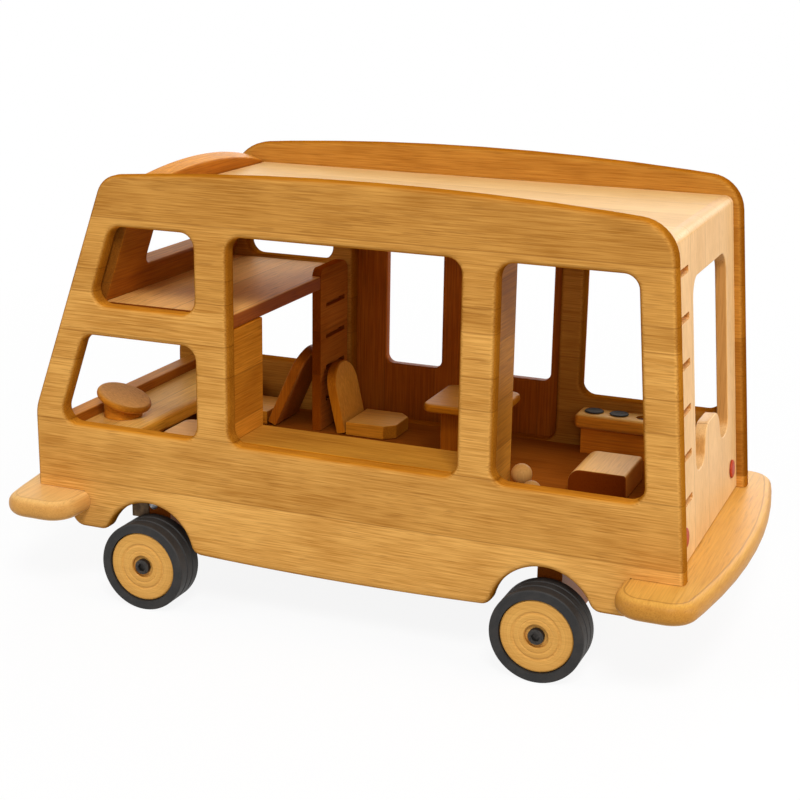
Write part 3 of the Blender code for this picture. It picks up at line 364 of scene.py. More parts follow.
class Graph:
    """A node tree of a material or the world, with short calls for the nodes used here."""

    def __init__(self, tree):
        self.tree = tree
        self.shader = tree.nodes.get("Principled BSDF")

    def feed(self, socket, value):
        """Links a socket to the input, or writes a plain value into it."""
        if isinstance(value, bpy.types.NodeSocket):
            self.tree.links.new(value, socket)
        elif isinstance(value, tuple) and len(value) == 3 and socket.type == "RGBA":
            socket.default_value = (*value, 1.0)
        else:
            socket.default_value = value

    def node(self, kind, inputs=(), **settings):
        """A new node's outputs. Its inputs come in order, or in a table by name or place."""
        made = self.tree.nodes.new(f"ShaderNode{kind}")
        for name, value in settings.items():
            setattr(made, name, value)
        table = inputs if isinstance(inputs, dict) else dict(enumerate(inputs))
        for key, value in table.items():
            self.feed(made.inputs[key], value)
        return made.outputs

    def math(self, operation, *values):
        return self.node("Math", values, operation=operation)[0]

    def vector(self, operation, *values):
        outputs = self.node("VectorMath", values, operation=operation)
        return outputs["Value" if operation == "LENGTH" else "Vector"]

    def split(self, vector, axis):
        return self.node("SeparateXYZ", (vector,))[axis]

    def apart(self, first, second):
        """How far two values lie apart."""
        return self.math("ABSOLUTE", self.math("SUBTRACT", first, second))

    def noise(self, place, scale, detail, roughness=0.5):
        """Noise whose grains are as fine as the scale says on each axis."""
        table = {"Vector": self.vector("MULTIPLY", place, scale), "Scale": 1.0}
        return self.node("TexNoise", {**table, "Detail": detail, "Roughness": roughness})["Fac"]

    def scatter(self, value):
        """A random value and a random colour for each value."""
        outputs = self.node("TexWhiteNoise", {"W": value}, noise_dimensions="1D")
        return outputs["Value"], outputs["Color"]

    def steps(self, value, plan):
        """A tone that holds from each start of the plan to the next."""
        node = self.tree.nodes.new("ShaderNodeValToRGB")
        node.color_ramp.interpolation = "CONSTANT"
        while len(node.color_ramp.elements) < len(plan):
            node.color_ramp.elements.new(0.5)
        for element, (start, tone) in zip(node.color_ramp.elements, plan):
            element.position = start / PLAN_REACH
            element.color = (*warm(tone), 1.0)
        self.feed(node.inputs[0], self.math("DIVIDE", value, PLAN_REACH))
        return node.outputs["Color"]

    def ramp(self, value, first, last, low=0.0, high=1.0, shape="SMOOTHSTEP"):
        """Maps the range from first to last onto low to high."""
        return self.node("MapRange", (value, first, last, low, high), interpolation_type=shape)[0]

    def mix(self, factor, first, second, mode="MIX"):
        """Two colours mixed. Sockets 6 and 7 and output 2 of the node are its colours."""
        return self.node("Mix", {0: factor, 6: first, 7: second}, data_type="RGBA", blend_type=mode)[2]

    def bump(self, height, strength, distance):
        made = self.node("Bump", {"Height": height, "Strength": strength, "Distance": distance})
        self.feed(self.shader.inputs["Normal"], made["Normal"])

    def give(self, **values):
        """Sets the shader's inputs by name, with spaces written as underscores."""
        for name, value in values.items():
            self.feed(self.shader.inputs[name.replace("_", " ")], value)


def new_coat(name):
    """A new material, its graph, and the place and the normal on a piece."""
    material = bpy.data.materials.new(name)
    material.use_nodes = True
    made = Graph(material.node_tree)
    coords = made.node("TexCoord")
    return material, made, coords["Object"], coords["Normal"]


def axis_vector(axis, along, other):
    """A vector with one value on the given axis and another on the rest."""
    return tuple(along if letter == axis else other for letter in AXES)


def wood(
    name, axes, light, dark, stave=0.040, shift=0.0, seed=0.0, plan=None, spread=0.14,
    edge=EDGE_TINT, ends=END_TINT, gloss=0.44, shine=0.30, rim=0.0, figure=1.0, rings=0.0,
):
    """Lacquered wood glued up from staves, with soft figure, fibres, short pores, glue lines and darker
    end grain. Edge tints the faces and roundovers that turn away from the face, and ends tints those that
    face along the grain; on some pieces these two tints also paint in shade or a highlight. The axes are
    those of the grain and of the face. A plan gives the staves as (start, tone) pairs, measured from shift
    below zero; a plan can hold painted shade as well as stave tones. Rim draws a faint line where a
    rounded edge starts, and rings adds the marks of the lathe round the face axis."""
    material, made, place, normal = new_coat(f"{name}_wood")
    grain, face = axes
    across = [letter for letter in AXES if letter not in axes][0]
    height = made.math("ADD", made.split(place, across), shift)
    if plan:
        tone = made.steps(height, plan)
        offset = made.scatter(tone)[1]
        line = 0.0
        for start, _ in plan[1:]:
            line = made.math("MAXIMUM", line, made.ramp(made.apart(height, start), GLUE_EDGE, GLUE_CORE))
    else:
        level = made.math("DIVIDE", height, stave)
        chance, offset = made.scatter(made.math("ADD", made.math("FLOOR", level), seed))
        tone = made.mix(chance, warm(1.0 - spread / 2), warm(1.0 + spread / 2))
        away = made.apart(made.math("FRACT", level), 0.5)
        line = made.ramp(away, 0.5 - GLUE_EDGE / stave, 0.5 - GLUE_CORE / stave)
    moved = made.vector("ADD", place, made.vector("MULTIPLY", offset, (2.0, 2.0, 2.0)))

    def streaks(lengthwise, crosswise, detail, roughness=0.5):
        """Noise drawn out along the grain."""
        return made.noise(moved, axis_vector(grain, lengthwise, crosswise), detail, roughness)

    broad = streaks(3.5, 48.0, 3.0, 0.55)
    cloud = streaks(24.0, 34.0, 2.0)
    fibre = streaks(30.0, 1200.0, 2.0, 0.55)
    fleck = streaks(60.0, 1250.0, 1.0)
    patch = streaks(12.0, 90.0, 2.0)
    fields = [(broad, 0.36 * figure), (fibre, 0.95 * figure), (cloud, 0.48 * figure)]
    if rings:
        spoke = made.vector("LENGTH", made.vector("MULTIPLY", place, axis_vector(face, 0.0, 1.0)))
        fields.append((made.noise(spoke, (380.0, 380.0, 380.0), 2.0), rings))
    blend = 0.55
    for field, share in fields:
        blend = made.math("MULTIPLY_ADD", made.math("SUBTRACT", field, 0.5), share, blend)
    colour = made.mix(made.ramp(blend, 0.0, 1.0), dark, light)
    colour = made.mix(1.0, colour, tone, "MULTIPLY")
    pores = made.math("MULTIPLY", made.ramp(fleck, 0.55, 0.70), made.ramp(patch, 0.30, 0.62, 0.25, 1.0))
    colour = made.mix(made.math("MULTIPLY", pores, 0.30 * figure), colour, PORE_BROWN)
    colour = made.mix(made.math("MULTIPLY", line, 0.42), colour, PORE_BROWN)
    facing = made.math("ABSOLUTE", made.split(normal, face))
    if rim:
        start = made.math("MULTIPLY", made.ramp(facing, 0.9998, 0.998), made.ramp(facing, 0.970, 0.985))
        colour = made.mix(made.math("MULTIPLY", start, rim), colour, PORE_BROWN)
    colour = made.mix(made.ramp(facing, 0.97, 0.45), colour, edge, "MULTIPLY")
    ending = made.math("ABSOLUTE", made.split(normal, grain))
    colour = made.mix(made.ramp(ending, 0.30, 0.80), colour, ends, "MULTIPLY")
    rough = made.math("MULTIPLY_ADD", fibre, 0.16, gloss - 0.08)
    made.give(Base_Color=colour, Roughness=rough, Specular_IOR_Level=shine, Specular_Tint=LACQUER_TINT)
    made.bump(made.math("SUBTRACT", fibre, made.math("MULTIPLY", pores, 0.6)), 0.10, 0.0003)
    return material


def rubber(name):
    """Matt tyre rubber with fine turned lines, worn paler on the tread, and dust in patches."""
    material, made, place, normal = new_coat(name)
    dust = made.noise(place, (120.0, 120.0, 120.0), 4.0, 0.6)
    grit = made.noise(place, (2200.0, 2200.0, 2200.0), 1.0)
    lines = made.math("SINE", made.math("MULTIPLY", made.split(place, "Y"), 6200.0))
    tread = made.ramp(made.math("ABSOLUTE", made.split(normal, "Y")), 0.8, 0.2)
    colour = made.mix(made.ramp(dust, 0.35, 0.75), (0.015, 0.0142, 0.0138), (0.032, 0.0285, 0.026))
    colour = made.mix(made.math("MULTIPLY", tread, 0.40), colour, (0.040, 0.032, 0.025))
    worn = made.math("MULTIPLY", made.ramp(grit, 0.55, 0.75), 0.25)
    colour = made.mix(worn, colour, (0.07, 0.064, 0.058))
    rough = made.math("MULTIPLY_ADD", dust, 0.25, 0.50)
    made.give(Base_Color=colour, Roughness=rough, Specular_IOR_Level=0.32)
    made.bump(made.math("MULTIPLY_ADD", made.math("MULTIPLY", lines, tread), 0.25, grit), 0.25, 0.0002)
    return material


def metal(name, light, dark, rough, metallic, size):
    """Metal with a mottled coating and fine scratches."""
    material, made, place, _ = new_coat(name)
    mottle = made.noise(place, (size, size, size), 4.0, 0.6)
    scratch = made.noise(place, (3000.0, 3000.0, 150.0), 2.0)
    colour = made.mix(made.ramp(mottle, 0.3, 0.7), dark, light)
    rough_out = made.math("MULTIPLY_ADD", scratch, 0.2, rough - 0.1)
    made.give(Base_Color=colour, Roughness=rough_out, Metallic=metallic)
    made.bump(scratch, 0.08, 0.0001)
    return material


def paint(name, light, dark, rough):
    """Brushed-on paint with a faint grain under it."""
    material, made, place, _ = new_coat(name)
    brush = made.noise(place, (300.0, 900.0, 900.0), 3.0, 0.6)
    colour = made.mix(made.ramp(brush, 0.3, 0.7), dark, light)
    rough_out = made.math("MULTIPLY_ADD", brush, 0.2, rough - 0.1)
    made.give(Base_Color=colour, Roughness=rough_out, Specular_IOR_Level=0.12)
    made.bump(brush, 0.12, 0.0002)
    return material


# Staves from the bottom up, as starts and tones: the near panel's, the far panel's, the inner walls'. The
# far panel's tones hold painted shade: they are darkened through the middle heights, where its inner face
# lies in shade.
LEFT_PLAN = ((0.0, 0.99), (0.082, 0.84), (0.122, 0.90), (0.164, 0.86), (0.184, 0.91), (0.211, 0.75))
LEFT_PLAN += ((0.226, 0.80), (0.260, 0.71))
RIGHT_SHADED_PLAN = ((0.0, 0.80), (0.082, 0.50), (0.112, 0.53), (0.152, 0.56), (0.178, 0.66))
RIGHT_SHADED_PLAN += ((0.214, 0.58), (0.252, 0.62))
WALL_PLAN = ((0.0, 1.02), (0.131, 0.80), (0.162, 0.95), (0.200, 0.82), (0.238, 0.92))
LEFT_LOOK = {"plan": LEFT_PLAN, "shine": 0.0}
RIGHT_LOOK = {"plan": RIGHT_SHADED_PLAN, "shine": 0.0}
WHOLE = {"stave": 0.5, "shift": 0.25}
HONEY = ((0.905, 0.490, 0.132), (0.440, 0.170, 0.021))
BUMPER_LOOK = {"ends": (0.96, 0.92, 0.86), "shine": 0.18, "gloss": 0.42, "figure": 0.7, **WHOLE}

LEFT_WOOD = wood("left", "XY", *HONEY, **LEFT_LOOK)
RIGHT_WOOD = wood("right", "XY", (0.92, 0.465, 0.100), (0.46, 0.170, 0.018), **RIGHT_LOOK)
RAIL_WOOD = wood("rail", "XY", *HONEY, seed=2.0, **WHOLE)
ROOF_WOOD = wood(
    "roof", "XZ", (0.93, 0.59, 0.245), (0.62, 0.33, 0.096), stave=0.045, seed=5.0, figure=0.7, shine=0.06,
)
# Painted highlight: the end tint lifts the faces that point up or down, the top roundover, the sills and
# the window heads, to a paler tone than the panel's other edges.
REAR_WOOD = wood(
    "rear", "ZX", (0.90, 0.56, 0.25), (0.60, 0.31, 0.10), stave=0.042, seed=8.0, spread=0.08,
    edge=(0.78, 0.62, 0.40), ends=(1.26, 1.55, 2.30), shine=0.12, figure=0.8,
)
# Painted shade and light: the colours of the front panel and the apron are darkened to stand in for the
# shade on their inner faces, the edge tint paints a paler lit tone onto the top and the other edges, and
# the end tint paints shade onto the end faces.
FRONT_WOOD = wood(
    "front", "YX", (0.49, 0.160, 0.014), (0.235, 0.058, 0.003), stave=0.043, seed=9.0,
    edge=(1.60, 2.00, 3.10), ends=(0.40, 0.33, 0.25), shine=0.04,
)
BUMPER_WOOD = wood(
    "bumper", "YZ", (0.90, 0.50, 0.110), (0.60, 0.275, 0.044), seed=4.0, edge=(0.74, 0.66, 0.56),
    rim=0.40, **BUMPER_LOOK,
)
# Partly painted sheen: the front bumper's colours are paler and less saturated than the rear bumper's, a
# paler board with some of its sheen painted into the colour.
NOSE_WOOD = wood(
    "nose", "YZ", (0.90, 0.54, 0.180), (0.60, 0.30, 0.080), seed=6.0, edge=(0.76, 0.66, 0.52),
    rim=0.20, **BUMPER_LOOK,
)
# Painted shade: the floor's colours are darkened to stand in for the shade on the floor inside the van.
FLOOR_WOOD = wood(
    "floor", "XZ", (0.36, 0.100, 0.010), (0.17, 0.037, 0.002), stave=0.045, seed=12.0, shine=0.0,
)
LEDGE_WOOD = wood(
    "ledge", "XZ", (0.60, 0.27, 0.032), (0.34, 0.118, 0.010), seed=13.0, shine=0.0, **WHOLE,
)
# Painted shade: the edge tint makes the bunk's edges far darker and redder than its top.
BUNK_WOOD = wood(
    "bunk", "YZ", (0.96, 0.53, 0.155), (0.60, 0.260, 0.056), seed=14.0, edge=(0.42, 0.19, 0.07),
    shine=0.06, gloss=0.55,
)
CAB_WALL_WOOD = wood(
    "cab_wall", "YX", (0.80, 0.320, 0.030), (0.45, 0.135, 0.007), plan=WALL_PLAN, shine=0.0,
)
REAR_WALL_WOOD = wood(
    "rear_wall", "YX", (0.78, 0.36, 0.048), (0.42, 0.148, 0.011), plan=WALL_PLAN, shine=0.05,
)
LADDER_WOOD = wood(
    "ladder", "YX", (0.55, 0.170, 0.022), (0.30, 0.068, 0.006), plan=WALL_PLAN, shine=0.0,
)
BLOCK_WOOD = wood(
    "block", "YX", (0.47, 0.15, 0.02), (0.215, 0.052, 0.004), seed=16.0, shine=0.12, **WHOLE,
)
KITCHEN_WOOD = wood(
    "kitchen", "XY", (0.78, 0.24, 0.018), (0.42, 0.097, 0.004), seed=18.0, shine=0.02, **WHOLE,
)
# Painted shade: the edge tint makes the counter's front and back edges darker and redder than its top.
COUNTER_WOOD = wood(
    "counter", "XZ", (0.98, 0.61, 0.175), (0.66, 0.320, 0.056), seed=20.0, edge=(0.76, 0.45, 0.13),
    shine=0.06, **WHOLE,
)
DASH_WOOD = wood(
    "dash", "YZ", (0.97, 0.57, 0.145), (0.62, 0.280, 0.044), stave=0.044, seed=17.0, shine=0.05,
)
# Painted highlight: the edge tint makes the door's edges and window jambs paler than its faces.
DOOR_WOOD = wood(
    "door", "ZY", (0.52, 0.138, 0.013), (0.240, 0.047, 0.003), shift=0.013, seed=19.0,
    edge=(1.3, 1.25, 1.1), shine=0.04,
)
HUB_WOOD = wood(
    "hub", "XY", (0.84, 0.46, 0.115), (0.52, 0.225, 0.036), seed=21.0, edge=(0.86, 0.72, 0.50),
    ends=(0.95, 0.92, 0.88), figure=0.6, rings=0.85, **WHOLE,
)
SEAT_WOOD = wood("seat", "XZ", (0.82, 0.41, 0.080), (0.42, 0.160, 0.018), seed=23.0, shine=0.12, **WHOLE)
STEER_WOOD = wood(
    "steer", "XZ", (0.76, 0.37, 0.085), (0.44, 0.175, 0.026), seed=24.0, shine=0.06, gloss=0.55, **WHOLE,
)
CHAIR_WOOD = wood(
    "chair", "ZX", (0.68, 0.285, 0.036), (0.41, 0.135, 0.011), seed=25.0, shine=0.02, **WHOLE,
)
CAB_CHAIR_WOOD = wood(
    "cab_chair", "ZX", (0.60, 0.22, 0.035), (0.30, 0.085, 0.009), seed=26.0, shine=0.06, **WHOLE,
)
TABLE_WOOD = wood(
    "table", "XZ", (0.70, 0.310, 0.040), (0.36, 0.120, 0.009), seed=28.0, shine=0.03, **WHOLE,
)
# Partly painted shade: the edge and end tints darken the bench's sides and its near end face far below its
# top; part is end grain, part stands in for shade.
BENCH_WOOD = wood(
    "bench", "YZ", (0.95, 0.56, 0.17), (0.62, 0.30, 0.06), seed=27.0, edge=(0.62, 0.40, 0.20),
    ends=(0.32, 0.155, 0.055), shine=0.08, figure=0.7, **WHOLE,
)
FIGURE_WOOD = wood(
    "figure", "ZY", (0.62, 0.345, 0.110), (0.42, 0.195, 0.046), seed=29.0, edge=(1.0, 0.98, 0.94),
    ends=(1.0, 0.98, 0.94), shine=0.08, figure=0.6, **WHOLE,
)
RUBBER = rubber("black_rubber")
BLACK_STEEL = metal("black_steel", (0.060, 0.053, 0.047), (0.026, 0.023, 0.021), 0.44, 0.75, 900.0)
PLATE_STEEL = metal("plate_steel", (0.190, 0.120, 0.065), (0.090, 0.058, 0.034), 0.46, 0.9, 260.0)
ZINC_STEEL = metal("zinc_steel", (0.62, 0.63, 0.65), (0.42, 0.43, 0.46), 0.38, 1.0, 260.0)
RED_PAINT = paint("red_paint", (0.48, 0.058, 0.014), (0.34, 0.030, 0.008), 0.38)
BLACK_PAINT = paint("black_paint", (0.036, 0.028, 0.019), (0.017, 0.013, 0.009), 0.66)
BROWN_PAINT = paint("brown_paint", (0.22, 0.105, 0.05), (0.13, 0.06, 0.03), 0.5)


def front_edge_x(z):
    """X of the side panel's sloping front edge at height z."""
    return FRONT_X + FRONT_LEAN * (z - NOSE_Z)


def rear_edge_x(z):
    """X of the side panel's rear edge at height z."""
    return REAR_X - REAR_LEAN * (z - BUMPER_TOP)


def top_edge_z(x):
    """Height of the side panel's gently bowed top edge."""
    return TOP_Z - TOP_BOW_R + math.sqrt(TOP_BOW_R**2 - (x - TOP_BOW_X) ** 2)


def front_inner_x(z):
    """X of the sloping front panel's inner face at height z."""
    return front_edge_x(z) + FRONT_INSET + BOARD_T / math.cos(FRONT_ANGLE)


def rear_face_x(z):
    """X of the rear panel's outer face at height z."""
    return rear_edge_x(z) - REAR_INSET


def rear_inner_x(z):
    """X of the rear panel's inner face at height z."""
    return rear_face_x(z) - REAR_T / math.cos(REAR_ANGLE)


def rounded(corners):
    """The closed outline through (x, y) corners, and (x, y, radius) ones that are rounded."""
    points = []
    count = len(corners)
    for index in range(count):
        here = Vector(corners[index][:2])
        before = Vector(corners[index - 1][:2])
        after = Vector(corners[(index + 1) % count][:2])
        radius = corners[index][2] if len(corners[index]) == 3 else 0.0
        if radius <= 0:
            points.append(here)
            continue
        to_before = (before - here).normalized()
        to_after = (after - here).normalized()
        opening = to_before.angle(to_after)
        reach = radius / math.tan(opening / 2)
        centre = here + (to_before + to_after).normalized() * (radius / math.sin(opening / 2))
        start = here + to_before * reach - centre
        turn = math.pi - opening
        side = 1.0 if to_before.cross(to_after) < 0 else -1.0
        steps = max(2, math.ceil(turn / QUARTER * ARC_STEPS))
        for step in range(steps + 1):
            points.append(centre + Matrix.Rotation(side * turn * step / steps, 2) @ start)
    return points


def arc(centre, radius, first, last, steps, tall=None):
    """Points on an arc from angle first to angle last, or on an ellipse's when tall gives its height."""
    found = []
    for step in range(steps + 1):
        angle = first + (last - first) * step / steps
        rise = (radius if tall is None else tall) * math.sin(angle)
        found.append(Vector((centre[0] + radius * math.cos(angle), centre[1] + rise)))
    return found


def rectangle(left, low, right, high, radius=0.0):
    """The outline of a rectangle with rounded corners."""
    return rounded([(left, low, radius), (right, low, radius), (right, high, radius), (left, high, radius)])


def rod(radius, low, high):
    """The (radius, height) profile of a plain rod."""
    return [(0.0, high), (radius, high), (radius, low), (0.0, low)]


def wound(points, left):
    """The outline turned anticlockwise when left is set, else clockwise."""
    area = sum(points[i - 1].cross(points[i]) for i in range(len(points)))
    return points if (area > 0) == left else points[::-1]


def baked(obj):
    """The evaluated mesh of a helper object, welded and facing out. The helper is removed."""
    bpy.context.view_layer.update()
    graph = bpy.context.evaluated_depsgraph_get()
    mesh = bpy.data.meshes.new_from_object(obj.evaluated_get(graph))
    bpy.data.objects.remove(obj, do_unlink=True)
    work = bmesh.new()
    work.from_mesh(mesh)
    bmesh.ops.remove_doubles(work, verts=work.verts, dist=WELD)
    bmesh.ops.recalc_face_normals(work, faces=work.faces)
    work.to_mesh(mesh)
    work.free()
    return mesh


def linked(name, data):
    """A new object in the scene."""
    made = bpy.data.objects.new(name, data)
    bpy.context.scene.collection.objects.link(made)
    return made


def helper(data):
    """A passing object that carries data until it is baked."""
    return linked("helper", data)


def slab(outline, holes, thick, edge, place):
    """A board mesh: the outline with holes, given thickness and rounded edges, laid into a place."""
    curve = bpy.data.curves.new("board", "CURVE")
    curve.dimensions = "2D"
    curve.fill_mode = "BOTH"
    for number, points in enumerate([outline] + list(holes)):
        points = wound(points, number == 0)
        spline = curve.splines.new("POLY")
        spline.points.add(len(points) - 1)
        for target, point in zip(spline.points, points):
            target.co = (point[0], point[1], 0.0, 1.0)
        spline.use_cyclic_u = True
    curve.extrude = thick / 2 - edge
    curve.bevel_depth = edge
    curve.bevel_resolution = EDGE_STEPS if edge > FINE_EDGE else FINE_EDGE_STEPS
    curve.offset = -edge
    mesh = baked(helper(curve))
    mesh.transform(place)
    return mesh


def turned(profile, steps, place, ring=False):
    """A turned mesh: the (radius, height) profile spun about the place's Z axis."""
    mesh = bpy.data.meshes.new("turned")
    count = len(profile)
    edges = [(i, i + 1) for i in range(count - 1)]
    if ring:
        edges.append((count - 1, 0))
    mesh.from_pydata([(radius, 0.0, height) for radius, height in profile], edges, [])
    spun = helper(mesh)
    screw = spun.modifiers.new("Screw", "SCREW")
    screw.axis = "Z"
    screw.steps = steps
    screw.render_steps = steps
    screw.use_merge_vertices = True
    screw.merge_threshold = MERGE
    made = baked(spun)
    made.transform(place)
    return made


def block(low, high, bevel=0.0):
    """A box mesh between two corners, with bevelled edges."""
    work = bmesh.new()
    bmesh.ops.create_cube(work, size=1.0)
    bmesh.ops.scale(work, vec=Vector(high) - Vector(low), verts=work.verts)
    bmesh.ops.translate(work, vec=(Vector(high) + Vector(low)) / 2, verts=work.verts)
    if bevel:
        edges = work.edges
        bmesh.ops.bevel(work, geom=edges, offset=bevel, segments=BEVEL_STEPS, profile=0.5, affect="EDGES")
    mesh = bpy.data.meshes.new("block")
    work.to_mesh(mesh)
    work.free()
    return mesh


def carved(mesh, cutters):
    """The mesh with each cutter mesh taken out of it."""
    body = helper(mesh)
    tools = []
    for cutter in cutters:
        tool = helper(cutter)
        tools.append(tool)
        boolean = body.modifiers.new("Cut", "BOOLEAN")
        boolean.operation = "DIFFERENCE"
        boolean.solver = "MANIFOLD"
        boolean.object = tool
    made = baked(body)
    for tool in tools:
        bpy.data.objects.remove(tool, do_unlink=True)
    return made


def standing(y):
    """The place of a board that stands along X: its own X is X, its own Y is Z, centred on y."""
    return Matrix.Translation((0, y, 0)) @ Matrix.Rotation(QUARTER, 4, "X")


def crossing(x, z, lean):
    """The place of a board across the van: its own X is Y, its own Y climbs, leaning by an angle."""
    turn = Matrix(((0, 0, 1, 0), (1, 0, 0, 0), (0, 1, 0, 0), (0, 0, 0, 1)))
    return Matrix.Translation((x, 0, z)) @ Matrix.Rotation(lean, 4, "Y") @ turn


def lying(z):
    """The place of a board that lies flat, centred on height z."""
    return Matrix.Translation((0, 0, z))


def along(origin, direction):
    """The place of a turned piece whose axis leaves the origin in the given direction."""
    turn = Vector((0, 0, 1)).rotation_difference(Vector(direction)).to_matrix().to_4x4()
    return Matrix.Translation(origin) @ turn


def upright(x, y, z):
    """The place of a turned piece that stands on a point."""
    return along((x, y, z), (0, 0, 1))


def new_piece(name, mesh, coat, pivot=(0, 0, 0), sharp=SHARP_ANGLE):
    """A named object with a smooth-shaded mesh, its origin at the pivot."""
    mesh.name = name
    mesh.transform(Matrix.Translation(-Vector(pivot)))
    obj = linked(name, mesh)
    obj.location = Vector(pivot) - Vector((MIDDLE_X, 0, 0))
    mesh.materials.clear()
    mesh.materials.append(coat)
    for polygon in mesh.polygons:
        polygon.use_smooth = True
    mesh.set_sharp_from_angle(angle=math.radians(sharp))
    weighted = obj.modifiers.new("Normals", "WEIGHTED_NORMAL")
    weighted.keep_sharp = True
    bpy.context.view_layer.update()
    return obj


def piece(node, mesh, coat, **shape):
    """Stands a finer mesh in for a CAD node, on the node's body and with the given material."""
    obj = new_piece(f"{node}_fine", mesh, coat, **shape)
    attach(obj, BODY_OF[node])
    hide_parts(node)


def dressed(node, coat):
    """Gives a CAD node that keeps its own shape a finished material."""
    for place in frame["nodes"][node].material_slots:
        place.material = coat


def arch(axle, low_before, low_after):
    """A wheel arch over the axle, with a rounded toe where it meets the bottom edge on each side."""
    middle_z = TYRE_R + ARCH_UP
    reach = ARCH_R + ARCH_TOE_R
    before = math.asin((low_before + ARCH_TOE_R - middle_z) / reach)
    after = math.asin((low_after + ARCH_TOE_R - middle_z) / reach)
    toe = (axle - reach * math.cos(before), middle_z + reach * math.sin(before))
    run = arc(toe, ARCH_TOE_R, -QUARTER, -before, ARC_STEPS)
    run += arc((axle, middle_z), ARCH_R, math.pi - before, after, 4 * ARC_STEPS)[1:-1]
    toe = (axle + reach * math.cos(after), middle_z + reach * math.sin(after))
    run += arc(toe, ARCH_TOE_R, math.pi + after, 3 * QUARTER, ARC_STEPS)
    return run


def side_outline(corner_front_r):
    """The side panel's outline in X and Z, with wheel arches and a short foot under each bumper."""
    foot_r = (SLOT_LOW - FOOT_Z) * FOOT_ROUND
    rear_top_x = rear_edge_x(TOP_Z)
    front_top_x = front_edge_x(TOP_Z)
    corners = [(rear_edge_x(SLOT_MIDDLE), SLOT_MIDDLE)]
    corners.append((rear_top_x, top_edge_z(rear_top_x), CORNER_REAR_R))
    for step in range(1, BOW_STEPS):
        x = rear_top_x + (front_top_x - rear_top_x) * step / BOW_STEPS
        corners.append((x, top_edge_z(x)))
    corners.append((front_top_x, top_edge_z(front_top_x), corner_front_r))
    corners.append((FRONT_X, NOSE_Z, NOSE_R))
    corners.append((FRONT_X, SLOT_MIDDLE))
    corners.append((-FOOT_END_X, SLOT_MIDDLE))
    corners.append((-FOOT_END_X, FOOT_Z, foot_r))
    corners.append((-AXLE_X - ARCH_R, FOOT_Z))
    points = rounded(corners)[:-1]
    front_arch = arch(-AXLE_X, FOOT_Z, SKIRT_Z)
    rear_arch = arch(AXLE_X, SKIRT_Z, FOOT_Z)
    points += front_arch
    first = front_arch[-1].x
    last = rear_arch[0].x
    for step in range(1, 2 * BOW_STEPS):
        share = step / (2 * BOW_STEPS)
        drop = SKIRT_BOW * 4 * share * (1 - share)
        points.append(Vector((first + (last - first) * share, SKIRT_Z - drop)))
    points += rear_arch
    tail = [(AXLE_X + ARCH_R, FOOT_Z)]
    tail.append((FOOT_END_X, FOOT_Z, foot_r))
    tail.append((FOOT_END_X, SLOT_MIDDLE))
    points += rounded(tail)[1:]
    return points


def window(low, high, front, rear):
    """A window outline in a side panel. Front and rear give X at a height."""
    corners = [(front(low), low, WINDOW_R), (rear(low), low, WINDOW_R)]
    corners += [(rear(high), high, WINDOW_R), (front(high), high, WINDOW_R)]
    return rounded(corners)


def side_windows(cab_rear, rear_frame, bunk_frame, bunk_sill, sill):
    """The two cab windows and the rear window, which both side panels have."""
    last_front = POST_REAR_X + POST_REAR_W
    bunk = window(bunk_sill, HEAD_Z, lambda z: front_edge_x(z) + bunk_frame, lambda z: cab_rear)
    cab = window(sill, CAB_HEAD_Z, lambda z: front_edge_x(z) + FRAME_CAB, lambda z: cab_rear)
    last = window(sill, HEAD_Z, lambda z: last_front, lambda z: rear_edge_x(z) - rear_frame)
    return [bunk, cab, last]


def ordered(first, last):
    """A box's low and high corners from any two opposite corners."""
    low = tuple(min(a, b) for a, b in zip(first, last))
    high = tuple(max(a, b) for a, b in zip(first, last))
    return low, high


# Side panels
middle_front = POST_FRONT_X + POST_FRONT_W
left_windows = side_windows(POST_FRONT_X, FRAME_REAR, FRAME_BUNK, BUNK_SILL_Z, SILL_Z)
left_windows.append(rectangle(middle_front, SILL_Z, POST_REAR_X, HEAD_Z, WINDOW_R))
far_post = POST_FRONT_X + FAR_POST_SHIFT
far_frame = FRAME_REAR - FAR_FRAME_CUT
far_bunk_sill = BUNK_SILL_Z + FAR_BUNK_RISE
far_sill = SILL_Z + FAR_SILL_RISE
right_windows = side_windows(far_post, far_frame, FAR_BUNK_FRAME, far_bunk_sill, far_sill)
right_windows.append(rectangle(DOOR_FRONT_X, FLOOR_TOP, DOOR_REAR_X, DOOR_HEAD_Z, WINDOW_R))
for side_name, side, corner_r, holes, coat in (
    ("left", -1, CORNER_FRONT_R, left_windows, LEFT_WOOD),
    ("right", 1, FAR_CORNER_R, right_windows, RIGHT_WOOD),
):
    place = standing(side * (BODY_W / 2 - SIDE_T / 2))
    mesh = slab(side_outline(corner_r), holes, SIDE_T, SIDE_ROUND, place)
    slots = []
    for end_name, end, inner, outer in BUMPER_ENDS:
        first = (end * (inner + BUMPER_LAP), side * (INNER_HALF - SIDE_T), SLOT_LOW)
        last = (end * (outer + SIDE_T), side * (BODY_W / 2 + SIDE_T), SLOT_HIGH)
        slots.append(block(*ordered(first, last)))
    piece(f"{side_name}_side_panel", carved(mesh, slots), coat)

